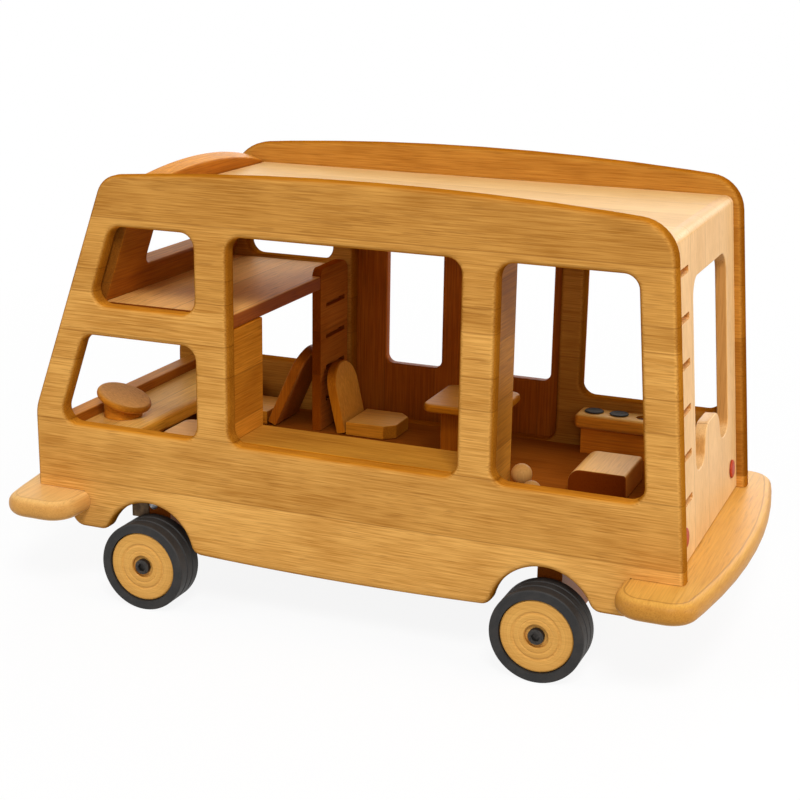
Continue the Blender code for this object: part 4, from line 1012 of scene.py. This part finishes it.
# Bumpers
bow_r = (BUMPER_HALF_W**2 + BUMPER_BOW**2) / (2 * BUMPER_BOW)
for end_name, end, inner, outer in BUMPER_ENDS:
    corners = [(end * inner, -BUMPER_HALF_W, BUMPER_CORNER_R)]
    corners.append((end * inner, BUMPER_HALF_W, BUMPER_CORNER_R))
    for step in range(BOW_STEPS + 1):
        y = BUMPER_HALF_W * (1 - 2 * step / BOW_STEPS)
        x = outer - bow_r + math.sqrt(bow_r**2 - y**2)
        corners.append((end * x, y, BUMPER_CORNER_R if step in (0, BOW_STEPS) else 0.0))
    mesh = slab(rounded(corners), [], BUMPER_T, BUMPER_ROUND, lying(BUMPER_TOP - BUMPER_T / 2))
    notches = []
    for side in (-1, 1):
        first = (end * (inner - BUMPER_LAP), side * (INNER_HALF - GAP), SLOT_LOW - BUMPER_T)
        last = (end * (inner + BUMPER_LAP + GAP), side * (BODY_W / 2 + GAP), SLOT_HIGH + BUMPER_T)
        notches.append(block(*ordered(first, last)))
    piece(f"{end_name}_bumper", carved(mesh, notches), NOSE_WOOD if end < 0 else BUMPER_WOOD)


# Rear panel with its bell-shaped tongue, step slots and tail lights
rear_cos = math.cos(REAR_ANGLE)
rear_sin = math.sin(REAR_ANGLE)
rear_foot_z = SLOT_HIGH + REAR_T * rear_sin


def rear_v(z):
    """Distance up the rear panel's face from its foot."""
    return (z - rear_foot_z) / rear_cos


def rear_point(y, z, off):
    """A point off the rear panel's outer face, measured along its normal."""
    return Vector((rear_face_x(z), y, z)) + Vector((rear_cos, 0, rear_sin)) * off


def rear_window():
    """The rear window, whose sill dips on both sides of a tongue."""
    low = rear_v(REAR_NOTCH_Z)
    corners = []
    for side in (-1, 1):
        outer = REAR_WINDOW_Y + side * REAR_WINDOW_HALF
        inner = REAR_WINDOW_Y + side * (REAR_WINDOW_HALF - REAR_NOTCH_W)
        run = [(outer, rear_v(REAR_WINDOW_TOP), REAR_WINDOW_R), (outer, low, REAR_NOTCH_R)]
        run.append((inner, low, REAR_NOTCH_R))
        run.append((REAR_WINDOW_Y + side * TONGUE_HALF, rear_v(TONGUE_TOP_Z), TONGUE_R))
        corners += run if side < 0 else run[::-1]
    return rounded(corners)


def slot(first, last, middle, height, radius):
    """A thin slot outline between two values."""
    return rectangle(first, middle - height / 2, last, middle + height / 2, radius)


def pockets(outlines, place, thick, depth):
    """Cutters that sink each outline into the board's upper face, as deep as the depth."""
    sunk = place @ Matrix.Translation((0, 0, thick / 2))
    return [slab(outline, [], 2 * depth, 0.0, sunk) for outline in outlines]


rear_middle = rear_point(0, rear_foot_z, -REAR_T / 2)
rear_place = crossing(rear_middle.x, rear_middle.z, -REAR_ANGLE)
outline = rectangle(-FIT_HALF, 0.0, FIT_HALF, rear_v(ROOF_TOP) + REAR_T)
mesh = slab(outline, [rear_window()], REAR_T, EASE, rear_place)
steps = []
for number in range(STEP_COUNT):
    middle = rear_v(STEP_FIRST_Z + STEP_PITCH * number)
    steps.append(slot(-STEP_OUT_Y, -STEP_IN_Y, middle, STEP_SLOT_H, STEP_SLOT_R))
reach = REAR_T * 4
face_x = rear_face_x(ROOF_TOP)
inner_x = rear_inner_x(ROOF_TOP) - reach
corners = [(rear_face_x(ROOF_TOP - reach), ROOF_TOP - reach), (face_x, ROOF_TOP, REAR_TOP_ROUND)]
corners += [(inner_x, ROOF_TOP), (inner_x, ROOF_TOP + reach)]
corners += [(face_x + reach, ROOF_TOP + reach), (face_x + reach, ROOF_TOP - reach)]
cutters = [slab(rounded(corners), [], 2 * BODY_W, 0.0, standing(0))]
cutters += pockets(steps, rear_place, REAR_T, STEP_POCKET)
piece("rear_panel", carved(mesh, cutters), REAR_WOOD)
for side_name, side in SIDES:
    profile = [(0.0, LIGHT_T)]
    for step in range(1, ARC_STEPS + 1):
        angle = QUARTER * (1 - step / ARC_STEPS)
        height = LIGHT_T * (LIGHT_RIM + (1 - LIGHT_RIM) * math.sin(angle))
        profile.append((LIGHT_R * math.cos(angle) ** LIGHT_DOME, height))
    profile += [(LIGHT_R, 0.0), (0.0, 0.0)]
    place = along(rear_point(side * LIGHT_Y, LIGHT_Z, GAP), (rear_cos, 0, rear_sin))
    piece(f"{side_name}_tail_light", turned(profile, SMALL_STEPS, place), RED_PAINT)

# Front panel over the open windscreen, and the upright apron under it
front_cos = math.cos(FRONT_ANGLE)


def front_v(z):
    """Distance up the front panel's inner face from its foot."""
    return (z - SCREEN_TOP) / front_cos


edge_v = front_v(FRONT_EDGE_Z)
rise = front_v(FRONT_PEAK_Z) - edge_v
bow_r = (FIT_HALF**2 + rise**2) / (2 * rise)
corners = [(-FIT_HALF, 0.0), (FIT_HALF, 0.0)]
for step in range(4 * BOW_STEPS + 1):
    y = FIT_HALF * (1 - step / (2 * BOW_STEPS))
    corners.append((y, edge_v + rise - bow_r + math.sqrt(bow_r**2 - y**2)))
low = front_v(BUNK_WINDOW_LOW)
high = front_v(BUNK_WINDOW_HIGH)
bunk_light = rectangle(-BUNK_WINDOW_HALF, low, BUNK_WINDOW_HALF, high, WINDOW_R)
front_x = front_inner_x(SCREEN_TOP) - BOARD_T / 2 * front_cos
front_z = SCREEN_TOP + BOARD_T / 2 * math.sin(FRONT_ANGLE)
place = crossing(front_x, front_z, FRONT_ANGLE)
piece("front_panel", slab(rounded(corners), [bunk_light], BOARD_T, PANEL_EASE, place), FRONT_WOOD)
apron_in = front_inner_x(APRON_TOP)
low = (apron_in - BOARD_T, -FIT_HALF, SLOT_HIGH)
piece("front_apron", block(low, (apron_in, FIT_HALF, APRON_TOP), APRON_EASE), FRONT_WOOD)


def across(corners):
    """A board with one X and Z section all the way across the van."""
    return slab(rounded(corners), [], 2 * FIT_HALF, SECTION_EASE, standing(0))


# Floor, roof, dashboard and bunk
front = apron_in + GAP
corners = [(front, FLOOR_LOW), (rear_inner_x(FLOOR_LOW) - GAP, FLOOR_LOW)]
corners += [(rear_inner_x(FLOOR_TOP) - GAP, FLOOR_TOP), (front, FLOOR_TOP)]
piece("floor_panel", across(corners), FLOOR_WOOD)
ease_z = ROOF_TOP - ROOF_EASE
corners = [(front_inner_x(ROOF_LOW) + GAP, ROOF_LOW)]
corners.append((rear_inner_x(ROOF_LOW) - HAIR, ROOF_LOW))
corners.append((rear_inner_x(ROOF_TOP) - HAIR, ROOF_TOP))
corners.append((front_inner_x(ROOF_TOP) + GAP + ROOF_EASE, ROOF_TOP, SECTION_EASE))
corners.append((front_inner_x(ease_z) + GAP, ease_z, SECTION_EASE))
piece("roof_panel", across(corners), ROOF_WOOD)
dash_low = DASH_TOP - DASH_T
corners = [(front, dash_low), (DASH_REAR_X, dash_low, DASH_ROUND)]
corners += [(DASH_REAR_X, DASH_TOP, DASH_ROUND), (front, DASH_TOP)]
piece("dashboard", across(corners), DASH_WOOD)
ladder_rear = BUNK_REAR_X + GAP
ladder_front = ladder_rear - LADDER_T
ladder_in_y = FIT_HALF - LADDER_W
corners = [(front_inner_x(BUNK_LOW) + GAP, BUNK_LOW), (BUNK_REAR_X, BUNK_LOW, BUNK_ROUND)]
corners += [(BUNK_REAR_X, BUNK_TOP, BUNK_ROUND), (front_inner_x(BUNK_TOP) + GAP, BUNK_TOP)]
mesh = across(corners)
low = (ladder_front - GAP, ladder_in_y - GAP, BUNK_LOW - BUNK_T)
high = (ladder_rear + LADDER_T, INNER_HALF + LADDER_T, BUNK_TOP + BUNK_T)
piece("bunk_shelf", carved(mesh, [block(low, high)]), BUNK_WOOD)

# Inner walls
wall_low = FLOOR_TOP + GAP
low = (BUNK_REAR_X - WING_T, -FIT_HALF, wall_low)
high = (BUNK_REAR_X, WING_W - FIT_HALF, BUNK_LOW - GAP)
piece("cab_partition", block(low, high, WALL_EASE), CAB_WALL_WOOD)
low = (REAR_WING_X - WING_T, -FIT_HALF, wall_low)
high = (REAR_WING_X, REAR_WING_W - FIT_HALF, ROOF_LOW - GAP)
piece("rear_partition", block(low, high, WALL_EASE), REAR_WALL_WOOD)
ladder_top = BUNK_TOP + LADDER_UP
corners = [(ladder_in_y, wall_low), (FIT_HALF, wall_low)]
corners += [(FIT_HALF, ladder_top, WINDOW_R), (ladder_in_y, ladder_top, LADDER_UP)]
steps = []
for number in range(LADDER_COUNT):
    middle = LADDER_STEP_Z + LADDER_PITCH * number
    first = ladder_in_y + LADDER_MARGIN_IN
    steps.append(slot(first, FIT_HALF - LADDER_MARGIN_OUT, middle, LADDER_SLOT_H, FINE_EASE))
place = crossing((ladder_front + ladder_rear) / 2, 0, 0)
mesh = slab(rounded(corners), [], LADDER_T, FINE_EASE, place)
piece("ladder_board", carved(mesh, pockets(steps, place, LADDER_T, LADDER_POCKET)), LADDER_WOOD)

# Ledge inside the near windows, between the two partitions: a piece of the scene alone
low = (BUNK_REAR_X + GAP, -FIT_HALF, wall_low)
high = (REAR_WING_X - WING_T - GAP, LEDGE_W - FIT_HALF, SILL_Z - GAP)
ledge = new_piece("near_ledge", block(low, high, FINE_EASE), LEDGE_WOOD)
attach(ledge, BODY_OF["floor_panel"])

# Sliding side door and its rails
door_in = BODY_W / 2 + DOOR_STAND_OFF
door_front = DOOR_CENTRE_X - DOOR_W / 2
door_rear = DOOR_CENTRE_X + DOOR_W / 2
door_holes = []
for side in (-1, 1):
    first = DOOR_WINDOW_X + side * DOOR_WINDOW_STEP / 2 - DOOR_WINDOW_W / 2
    last = first + DOOR_WINDOW_W
    door_holes.append(rectangle(first, DOOR_WINDOW_LOW, last, DOOR_WINDOW_HIGH, DOOR_WINDOW_R))
outline = rectangle(door_front, DOOR_LOW, door_rear, DOOR_HIGH, EASE)
mesh = slab(outline, door_holes, DOOR_T, PANEL_EASE, standing(door_in + DOOR_T / 2))
piece("sliding_door", mesh, DOOR_WOOD)
rail_in = BODY_W / 2 + GAP
rail_lip_in = door_in + DOOR_T + RUN_GAP
rail_out = rail_lip_in + RAIL_T
rail_front = door_front - RAIL_T
rail_rear = door_rear + DOOR_TRAVEL + RUN_GAP
for rail_name, level, up in (("lower", DOOR_LOW - RUN_GAP, 1), ("upper", DOOR_HIGH + RUN_GAP, -1)):
    base = level - up * RAIL_T
    lip = level + up * RAIL_LIP
    corners = [(rail_in, base), (rail_out, base, RAIL_ROUND), (rail_out, lip, RAIL_ROUND)]
    corners += [(rail_lip_in, lip, FINE_EASE), (rail_lip_in, level), (rail_in, level)]
    place = crossing((rail_front + rail_rear) / 2, 0, 0)
    mesh = slab(rounded(corners), [], rail_rear - rail_front, FINE_EASE, place)
    piece(f"{rail_name}_door_rail", mesh, RAIL_WOOD)

# Steering column and wheel
column_low = DASH_TOP + GAP
steer_axis = Vector((math.sin(STEER_TILT), 0, math.cos(STEER_TILT)))
column_middle = Vector((COLUMN_X, COLUMN_Y, column_low + COLUMN_H))
steer_place = along(column_middle, steer_axis)
mesh = turned(rod(COLUMN_R, 0.0, 2 * COLUMN_H), TURN_STEPS, upright(COLUMN_X, COLUMN_Y, column_low))
over = block((-3 * COLUMN_R, -3 * COLUMN_R, 0), (3 * COLUMN_R, 3 * COLUMN_R, 6 * COLUMN_H))
over.transform(steer_place)
hole = turned(rod(STEER_PIN_R + BORE_GAP, -STEER_PIN_L - RUN_GAP, COLUMN_H), SMALL_STEPS, steer_place)
piece("steering_column", carved(mesh, [over, hole]), STEER_WOOD)
rim = STEER_T * STEER_RIM
centre = (STEER_R - rim, RUN_GAP + STEER_T / 2)
profile = [(0.0, RUN_GAP + STEER_T)] + arc(centre, rim, QUARTER, -QUARTER, RIM_STEPS, STEER_T / 2)
profile += [(STEER_PIN_R, RUN_GAP), (STEER_PIN_R, -STEER_PIN_L), (0.0, -STEER_PIN_L)]
piece("steering_wheel", turned(profile, TURN_STEPS, steer_place), STEER_WOOD, pivot=column_middle)


def cushion(middle, size, low, height, corner, edge):
    """A low block with rounded corners and edges, standing at a height."""
    half = Vector(size) / 2
    start = Vector(middle) - half
    end = Vector(middle) + half
    return slab(rectangle(*start, *end, corner), [], height, edge, lying(low + height / 2))


# Driver's seat, kitchen, bench and table
mesh = cushion(SEAT_PLACE, SEAT_PLAN, wall_low, SEAT_H, SEAT_CORNER_R, SEAT_ROUND)
piece("driver_seat", mesh, SEAT_WOOD)
burner_x = COUNTER_X + BURNER_X
burner_y = FIT_HALF - COUNTER_W + BURNER_IN
middle = (COUNTER_X + COUNTER_L / 2, FIT_HALF - COUNTER_W / 2)
counter_low = COUNTER_TOP - COUNTER_T
mesh = cushion(middle, (COUNTER_L, COUNTER_W), counter_low, COUNTER_T, COUNTER_CORNER_R, COUNTER_ROUND)
sink_x = burner_x + BURNER_STEP * 2
sink = turned(rod(SINK_R, -SINK_DEPTH, COUNTER_T), SMALL_STEPS, upright(sink_x, burner_y, COUNTER_TOP))
piece("kitchen_counter", carved(mesh, [sink]), COUNTER_WOOD)
profile = [(BURNER_R * out, BURNER_T * up) for out, up in BURNER_FORM]
for number, burner_name in enumerate(("front", "rear")):
    place = upright(burner_x + BURNER_STEP * number, burner_y, COUNTER_TOP + GAP)
    piece(f"{burner_name}_burner", turned(profile, SMALL_STEPS, place), BLACK_PAINT)
bowl_r = SINK_R - GAP
profile = []
for step in range(BOWL_STEPS + 1):
    share = step / BOWL_STEPS
    profile.append((bowl_r * BOWL_REACH * share, SINK_DEPTH * (BOWL_FLOOR + BOWL_RISE * share**3)))
profile += [(bowl_r, SINK_DEPTH / 3), (bowl_r, 0.0), (0.0, 0.0)]
place = upright(sink_x, burner_y, COUNTER_TOP + GAP - SINK_DEPTH)
piece("kitchen_sink", turned(profile, SMALL_STEPS, place), BROWN_PAINT)
dressed("kitchen_base", KITCHEN_WOOD)
bench_high = wall_low + BENCH_H
corners = [(BENCH_FRONT_X, wall_low, BENCH_EASE), (BENCH_REAR_X, wall_low, BENCH_EASE)]
corners += [(BENCH_TOP_X, bench_high, BENCH_REAR_R), (BENCH_FRONT_X, bench_high, BENCH_FRONT_R)]
piece("bench", slab(rounded(corners), [], BENCH_W, BENCH_EASE, standing(BENCH_Y)), BENCH_WOOD)
leg_h = TABLE_H - TABLE_T - GAP
mesh = cushion(TABLE_PLACE, LEG_PLAN, wall_low, leg_h, LEG_CORNER_R, LEG_EASE)
piece("table_leg", mesh, CAB_CHAIR_WOOD)
table_low = wall_low + leg_h + GAP
mesh = cushion(TABLE_PLACE, TABLE_PLAN, table_low, TABLE_T, TABLE_CORNER_R, TABLE_ROUND)
piece("table_top", mesh, TABLE_WOOD)


def chair(name, x, y, facing, lean, back_h, coat):
    """A chair whose round-topped back leans away from the seat. Facing is +1 towards the rear."""
    half_w = CHAIR_W / 2
    narrow = half_w - CHAIR_CHAMFER
    far = x + facing * CHAIR_SEAT_L
    near = far - facing * CHAIR_CHAMFER
    corners = [(x, y - half_w), (near, y - half_w, CHAIR_CORNER_R), (far, y - narrow, CHAIR_CORNER_R)]
    corners += [(far, y + narrow, CHAIR_CORNER_R), (near, y + half_w, CHAIR_CORNER_R), (x, y + half_w)]
    place = lying(wall_low + CHAIR_SEAT_T / 2)
    piece(f"{name}_seat", slab(rounded(corners), [], CHAIR_SEAT_T, CHAIR_SEAT_EASE, place), SEAT_WOOD)
    crown = half_w * CHAIR_CROWN
    corners = [(y - half_w, 0.0), (y + half_w, 0.0)]
    corners += [(y + half_w, back_h, crown), (y - half_w, back_h, crown)]
    foot_x = x - facing * (GAP + CHAIR_BACK_T / 2 * math.cos(lean))
    foot_z = wall_low + CHAIR_BACK_T / 2 * math.sin(lean)
    place = crossing(foot_x, foot_z, -facing * lean)
    piece(f"{name}_back", slab(rounded(corners), [], CHAIR_BACK_T, CHAIR_BACK_EASE, place), coat)


lean = math.radians(24)
chair("cab_chair", x=-0.1185, y=0.0590, facing=-1, lean=lean, back_h=0.0610, coat=CAB_CHAIR_WOOD)
lean = math.radians(13)
chair("van_chair", x=-0.0560, y=0.0600, facing=1, lean=lean, back_h=0.0490, coat=CHAIR_WOOD)

# Two turned peg figures
head_z = FIGURE_H - FIGURE_HEAD_R
figure = arc((0.0, head_z), FIGURE_HEAD_R, QUARTER, QUARTER - FIGURE_HEAD_TURN, HEAD_STEPS)
figure.append((FIGURE_NECK_R, head_z - FIGURE_HEAD_R * FIGURE_CHIN))
centre = (FIGURE_NECK_R, head_z - FIGURE_HEAD_R * FIGURE_CHEST)
rise = FIGURE_HEAD_R * FIGURE_SHOULDER
figure += arc(centre, FIGURE_R - FIGURE_NECK_R, QUARTER, 0.0, ROUND_STEPS, rise)
figure += [(FIGURE_R * out, FIGURE_R * up) for out, up in FIGURE_FOOT]
for name, x, y, size in FIGURES:
    profile = [(radius * size, height * size) for radius, height in figure]
    piece(f"{name}_figure", turned(profile, SMALL_STEPS, upright(x, y, wall_low)), FIGURE_WOOD)

# Wheels, bolts, washers and axle blocks
washer_in = BLOCK_HALF_W + GAP
hub_in = washer_in + WASHER_T + RUN_GAP
hub_out = hub_in + TYRE_W - HUB_RECESS
seat_y = hub_out - HUB_CUP_DEPTH
rim_r = TYRE_R - TYRE_SIDE
bore = BOLT_R + BORE_GAP


def hub_profile():
    """The hub's section: a cup for the bolt head, two lathe grooves and a rounded outer edge."""
    run = [(bore, seat_y), (HUB_CUP_R, seat_y), (HUB_CUP_R, hub_out - HUB_CUP_EASE)]
    run.append((HUB_CUP_R + HUB_CUP_EASE, hub_out))
    for middle, half, depth in HUB_GROOVES:
        for step in range(ROUND_STEPS + 1):
            share = 2 * step / ROUND_STEPS - 1
            run.append((middle + half * share, hub_out - depth * (0.5 + 0.5 * math.cos(math.pi * share))))
    outer = rim_r - GAP
    run += arc((outer - HUB_EDGE_R, hub_out - HUB_EDGE_R), HUB_EDGE_R, QUARTER, 0.0, HUB_EDGE_STEPS)
    run += [(outer, hub_in), (bore, hub_in)]
    return run


def tyre_profile():
    """The tyre's section: a rounded shoulder on each side and two grooves in the tread."""
    out = hub_in + TYRE_W
    shoulder_r = TYRE_R - TYRE_SHOULDER
    run = [(rim_r, out), (shoulder_r - TYRE_FLAT, out)]
    run += arc((shoulder_r, out - TYRE_SHOULDER), TYRE_SHOULDER, QUARTER, 0.0, TYRE_EDGE_STEPS)
    rib = (TYRE_W - TREAD_MARGIN) / 3
    for number in (1, 2):
        middle = out - TREAD_MARGIN / 2 - rib * number
        run += [(TYRE_R - depth, middle + away) for away, depth in TREAD_GROOVE]
    run += arc((shoulder_r, hub_in + TYRE_SHOULDER), TYRE_SHOULDER, 0.0, -QUARTER, TYRE_EDGE_STEPS)
    run.append((rim_r, hub_in))
    return run


for end_name, end in (("front", -1), ("rear", 1)):
    dressed(f"{end_name}_axle_block", BLOCK_WOOD)
    for side_name, side in SIDES:
        wheel = f"{end_name}_{side_name}"
        centre = (end * AXLE_X, 0, TYRE_R)
        place = along(centre, (0, side, 0))
        head_in = seat_y + GAP
        head_out = head_in + BOLT_HEAD_H
        edge = BOLT_HEAD_R * BOLT_EDGE
        bevel = edge * BOLT_BEVEL
        profile = [(0.0, head_out), (BOLT_HEAD_R - edge, head_out), (BOLT_HEAD_R - bevel, head_out - bevel)]
        profile += [(BOLT_HEAD_R, head_out - edge), (BOLT_HEAD_R, head_in), (BOLT_R, head_in)]
        profile += [(BOLT_R, BLOCK_HALF_W - BOLT_GRIP), (0.0, BLOCK_HALF_W - BOLT_GRIP)]
        socket = rod(SOCKET_R, head_out - SOCKET_DEPTH, head_out + SOCKET_DEPTH)
        mesh = carved(turned(profile, SMALL_STEPS, place), [turned(socket, HEXAGON, place)])
        piece(f"{wheel}_bolt", mesh, BLACK_STEEL)
        dressed(f"{wheel}_washer", ZINC_STEEL)
        mesh = turned(hub_profile(), TURN_STEPS, place, ring=True)
        piece(f"{wheel}_hub", mesh, HUB_WOOD, pivot=centre)
        mesh = turned(tyre_profile(), TURN_STEPS, place, ring=True)
        piece(f"{wheel}_tyre", mesh, RUBBER, pivot=centre, sharp=TYRE_SHARP_ANGLE)

# Steel corner angle and its screw
plate_in = -AXLE_X - BLOCK_HALF_L - GAP
plate_out = plate_in - PLATE_OUT
plate_y = -BLOCK_HALF_W
corners = [(plate_in, plate_y, PLATE_BEND_R), (plate_in, plate_y + PLATE_W)]
corners.append((plate_in - PLATE_T, plate_y + PLATE_W))
corners.append((plate_in - PLATE_T, plate_y + PLATE_T, PLATE_INNER_R))
corners += [(plate_out, plate_y + PLATE_T), (plate_out, plate_y)]
place = lying(FLOOR_LOW - GAP - PLATE_H / 2)
piece("axle_bracket", slab(rounded(corners), [], PLATE_H, PLATE_EASE, place), PLATE_STEEL)
profile = []
for step in range(ROUND_STEPS + 1):
    share = step / ROUND_STEPS
    profile.append((SCREW_HEAD_R * share, SCREW_HEAD_H * (1 - SCREW_DOME * share**SCREW_CURVE)))
profile += [(SCREW_HEAD_R, 0.0), (0.0, 0.0)]
place = along((-AXLE_X - BLOCK_HALF_L + SCREW_IN, plate_y - GAP, SCREW_Z), (0, -1, 0))
cross = []
for x, y in ((CROSS_HALF_L, CROSS_HALF_W), (CROSS_HALF_W, CROSS_HALF_L)):
    cross.append(block((-x, -y, SCREW_HEAD_H * CROSS_LOW), (x, y, SCREW_HEAD_H * 2)))
    cross[-1].transform(place)
piece("bracket_screw", carved(turned(profile, SMALL_STEPS, place), cross), ZINC_STEEL)

# Camera at the photograph's place
azimuth = math.radians(21.80)
elevation = math.radians(16.03)
roll = math.radians(0.9325)
eye = (0.38839, -0.97283, 0.43417)
look = Vector((
    -math.sin(azimuth) * math.cos(elevation),
    math.cos(azimuth) * math.cos(elevation),
    -math.sin(elevation),
))
level_right = look.cross(Vector((0, 0, 1))).normalized()
level_up = level_right.cross(look)
right = math.cos(roll) * level_right + math.sin(roll) * level_up
up = math.cos(roll) * level_up - math.sin(roll) * level_right
lens = bpy.data.cameras.new("camera")
lens.sensor_width = 36
lens.lens = 72.80
camera = linked("camera", lens)
turn = Matrix((right, up, -look)).transposed().to_4x4()
camera.matrix_world = Matrix.Translation(eye) @ turn
bpy.context.scene.camera = camera


def seen_directly(made):
    """1 for the rays that show the background: from the camera, in a reflection or through glass."""
    path = made.node("LightPath")
    total = path["Is Camera Ray"]
    for name in ("Is Glossy Ray", "Is Transmission Ray"):
        total = made.math("MAXIMUM", total, path[name])
    return total


# White surroundings, dimmer as a light than as a background
world = bpy.data.worlds.new("studio")
world.use_nodes = True
made = Graph(world.node_tree)
background = world.node_tree.nodes["Background"]
made.feed(background.inputs["Color"], (1.0, 1.0, 1.0))
strength = made.ramp(seen_directly(made), 0.0, 1.0, WORLD_LIGHT, 1.0, "LINEAR")
made.feed(background.inputs["Strength"], strength)
bpy.context.scene.world = world

# Pale floor that fades into the background and keeps a soft shadow
floor_mesh = bpy.data.meshes.new("studio_floor")
reach = FLOOR_REACH
corners = [(-reach, -reach, 0), (reach, -reach, 0), (reach, reach, 0), (-reach, reach, 0)]
floor_mesh.from_pydata(corners, [], [(0, 1, 2, 3)])
floor = linked("studio_floor", floor_mesh)
floor_coat = bpy.data.materials.new("studio_floor")
floor_coat.use_nodes = True
floor_coat.node_tree.nodes.clear()
made = Graph(floor_coat.node_tree)
seen = seen_directly(made)
shade = made.ramp(seen, 0.0, 1.0, *FLOOR_SHADE, "LINEAR")
diffuse = made.node("BsdfDiffuse", {"Color": shade})[0]
glow = made.node("Emission")[0]
away = made.vector("LENGTH", made.node("NewGeometry")["Position"])
share = made.math("MULTIPLY", seen, made.ramp(away, *FLOOR_FADE, "LINEAR"))
blend = made.node("MixShader", (share, diffuse, glow))[0]
made.node("OutputMaterial", {"Surface": blend})
floor_mesh.materials.append(floor_coat)


def lamp(name, place, aim_z, size, power):
    """A soft square lamp that points at a height on the van's middle."""
    data = bpy.data.lights.new(name, "AREA")
    data.size = size
    data.energy = power
    obj = linked(name, data)
    obj.location = place
    obj.rotation_mode = "QUATERNION"
    obj.rotation_quaternion = (Vector((0, 0, aim_z)) - Vector(place)).to_track_quat("-Z", "Y")


lamp("front", (0.675, -1.448, 1.774), aim_z=0.12, size=0.60, power=29.0)
lamp("low", (0.80, -2.00, 0.80), aim_z=0.14, size=0.70, power=5.0)
lamp("left", (-1.30, -1.10, 0.90), aim_z=0.12, size=1.0, power=10.0)
lamp("right", (2.20, -0.10, 0.95), aim_z=0.12, size=1.2, power=26.0)
lamp("back", (-0.30, 2.40, 1.20), aim_z=0.12, size=2.4, power=40.0)

bpy.context.scene.view_settings.view_transform = "Standard"
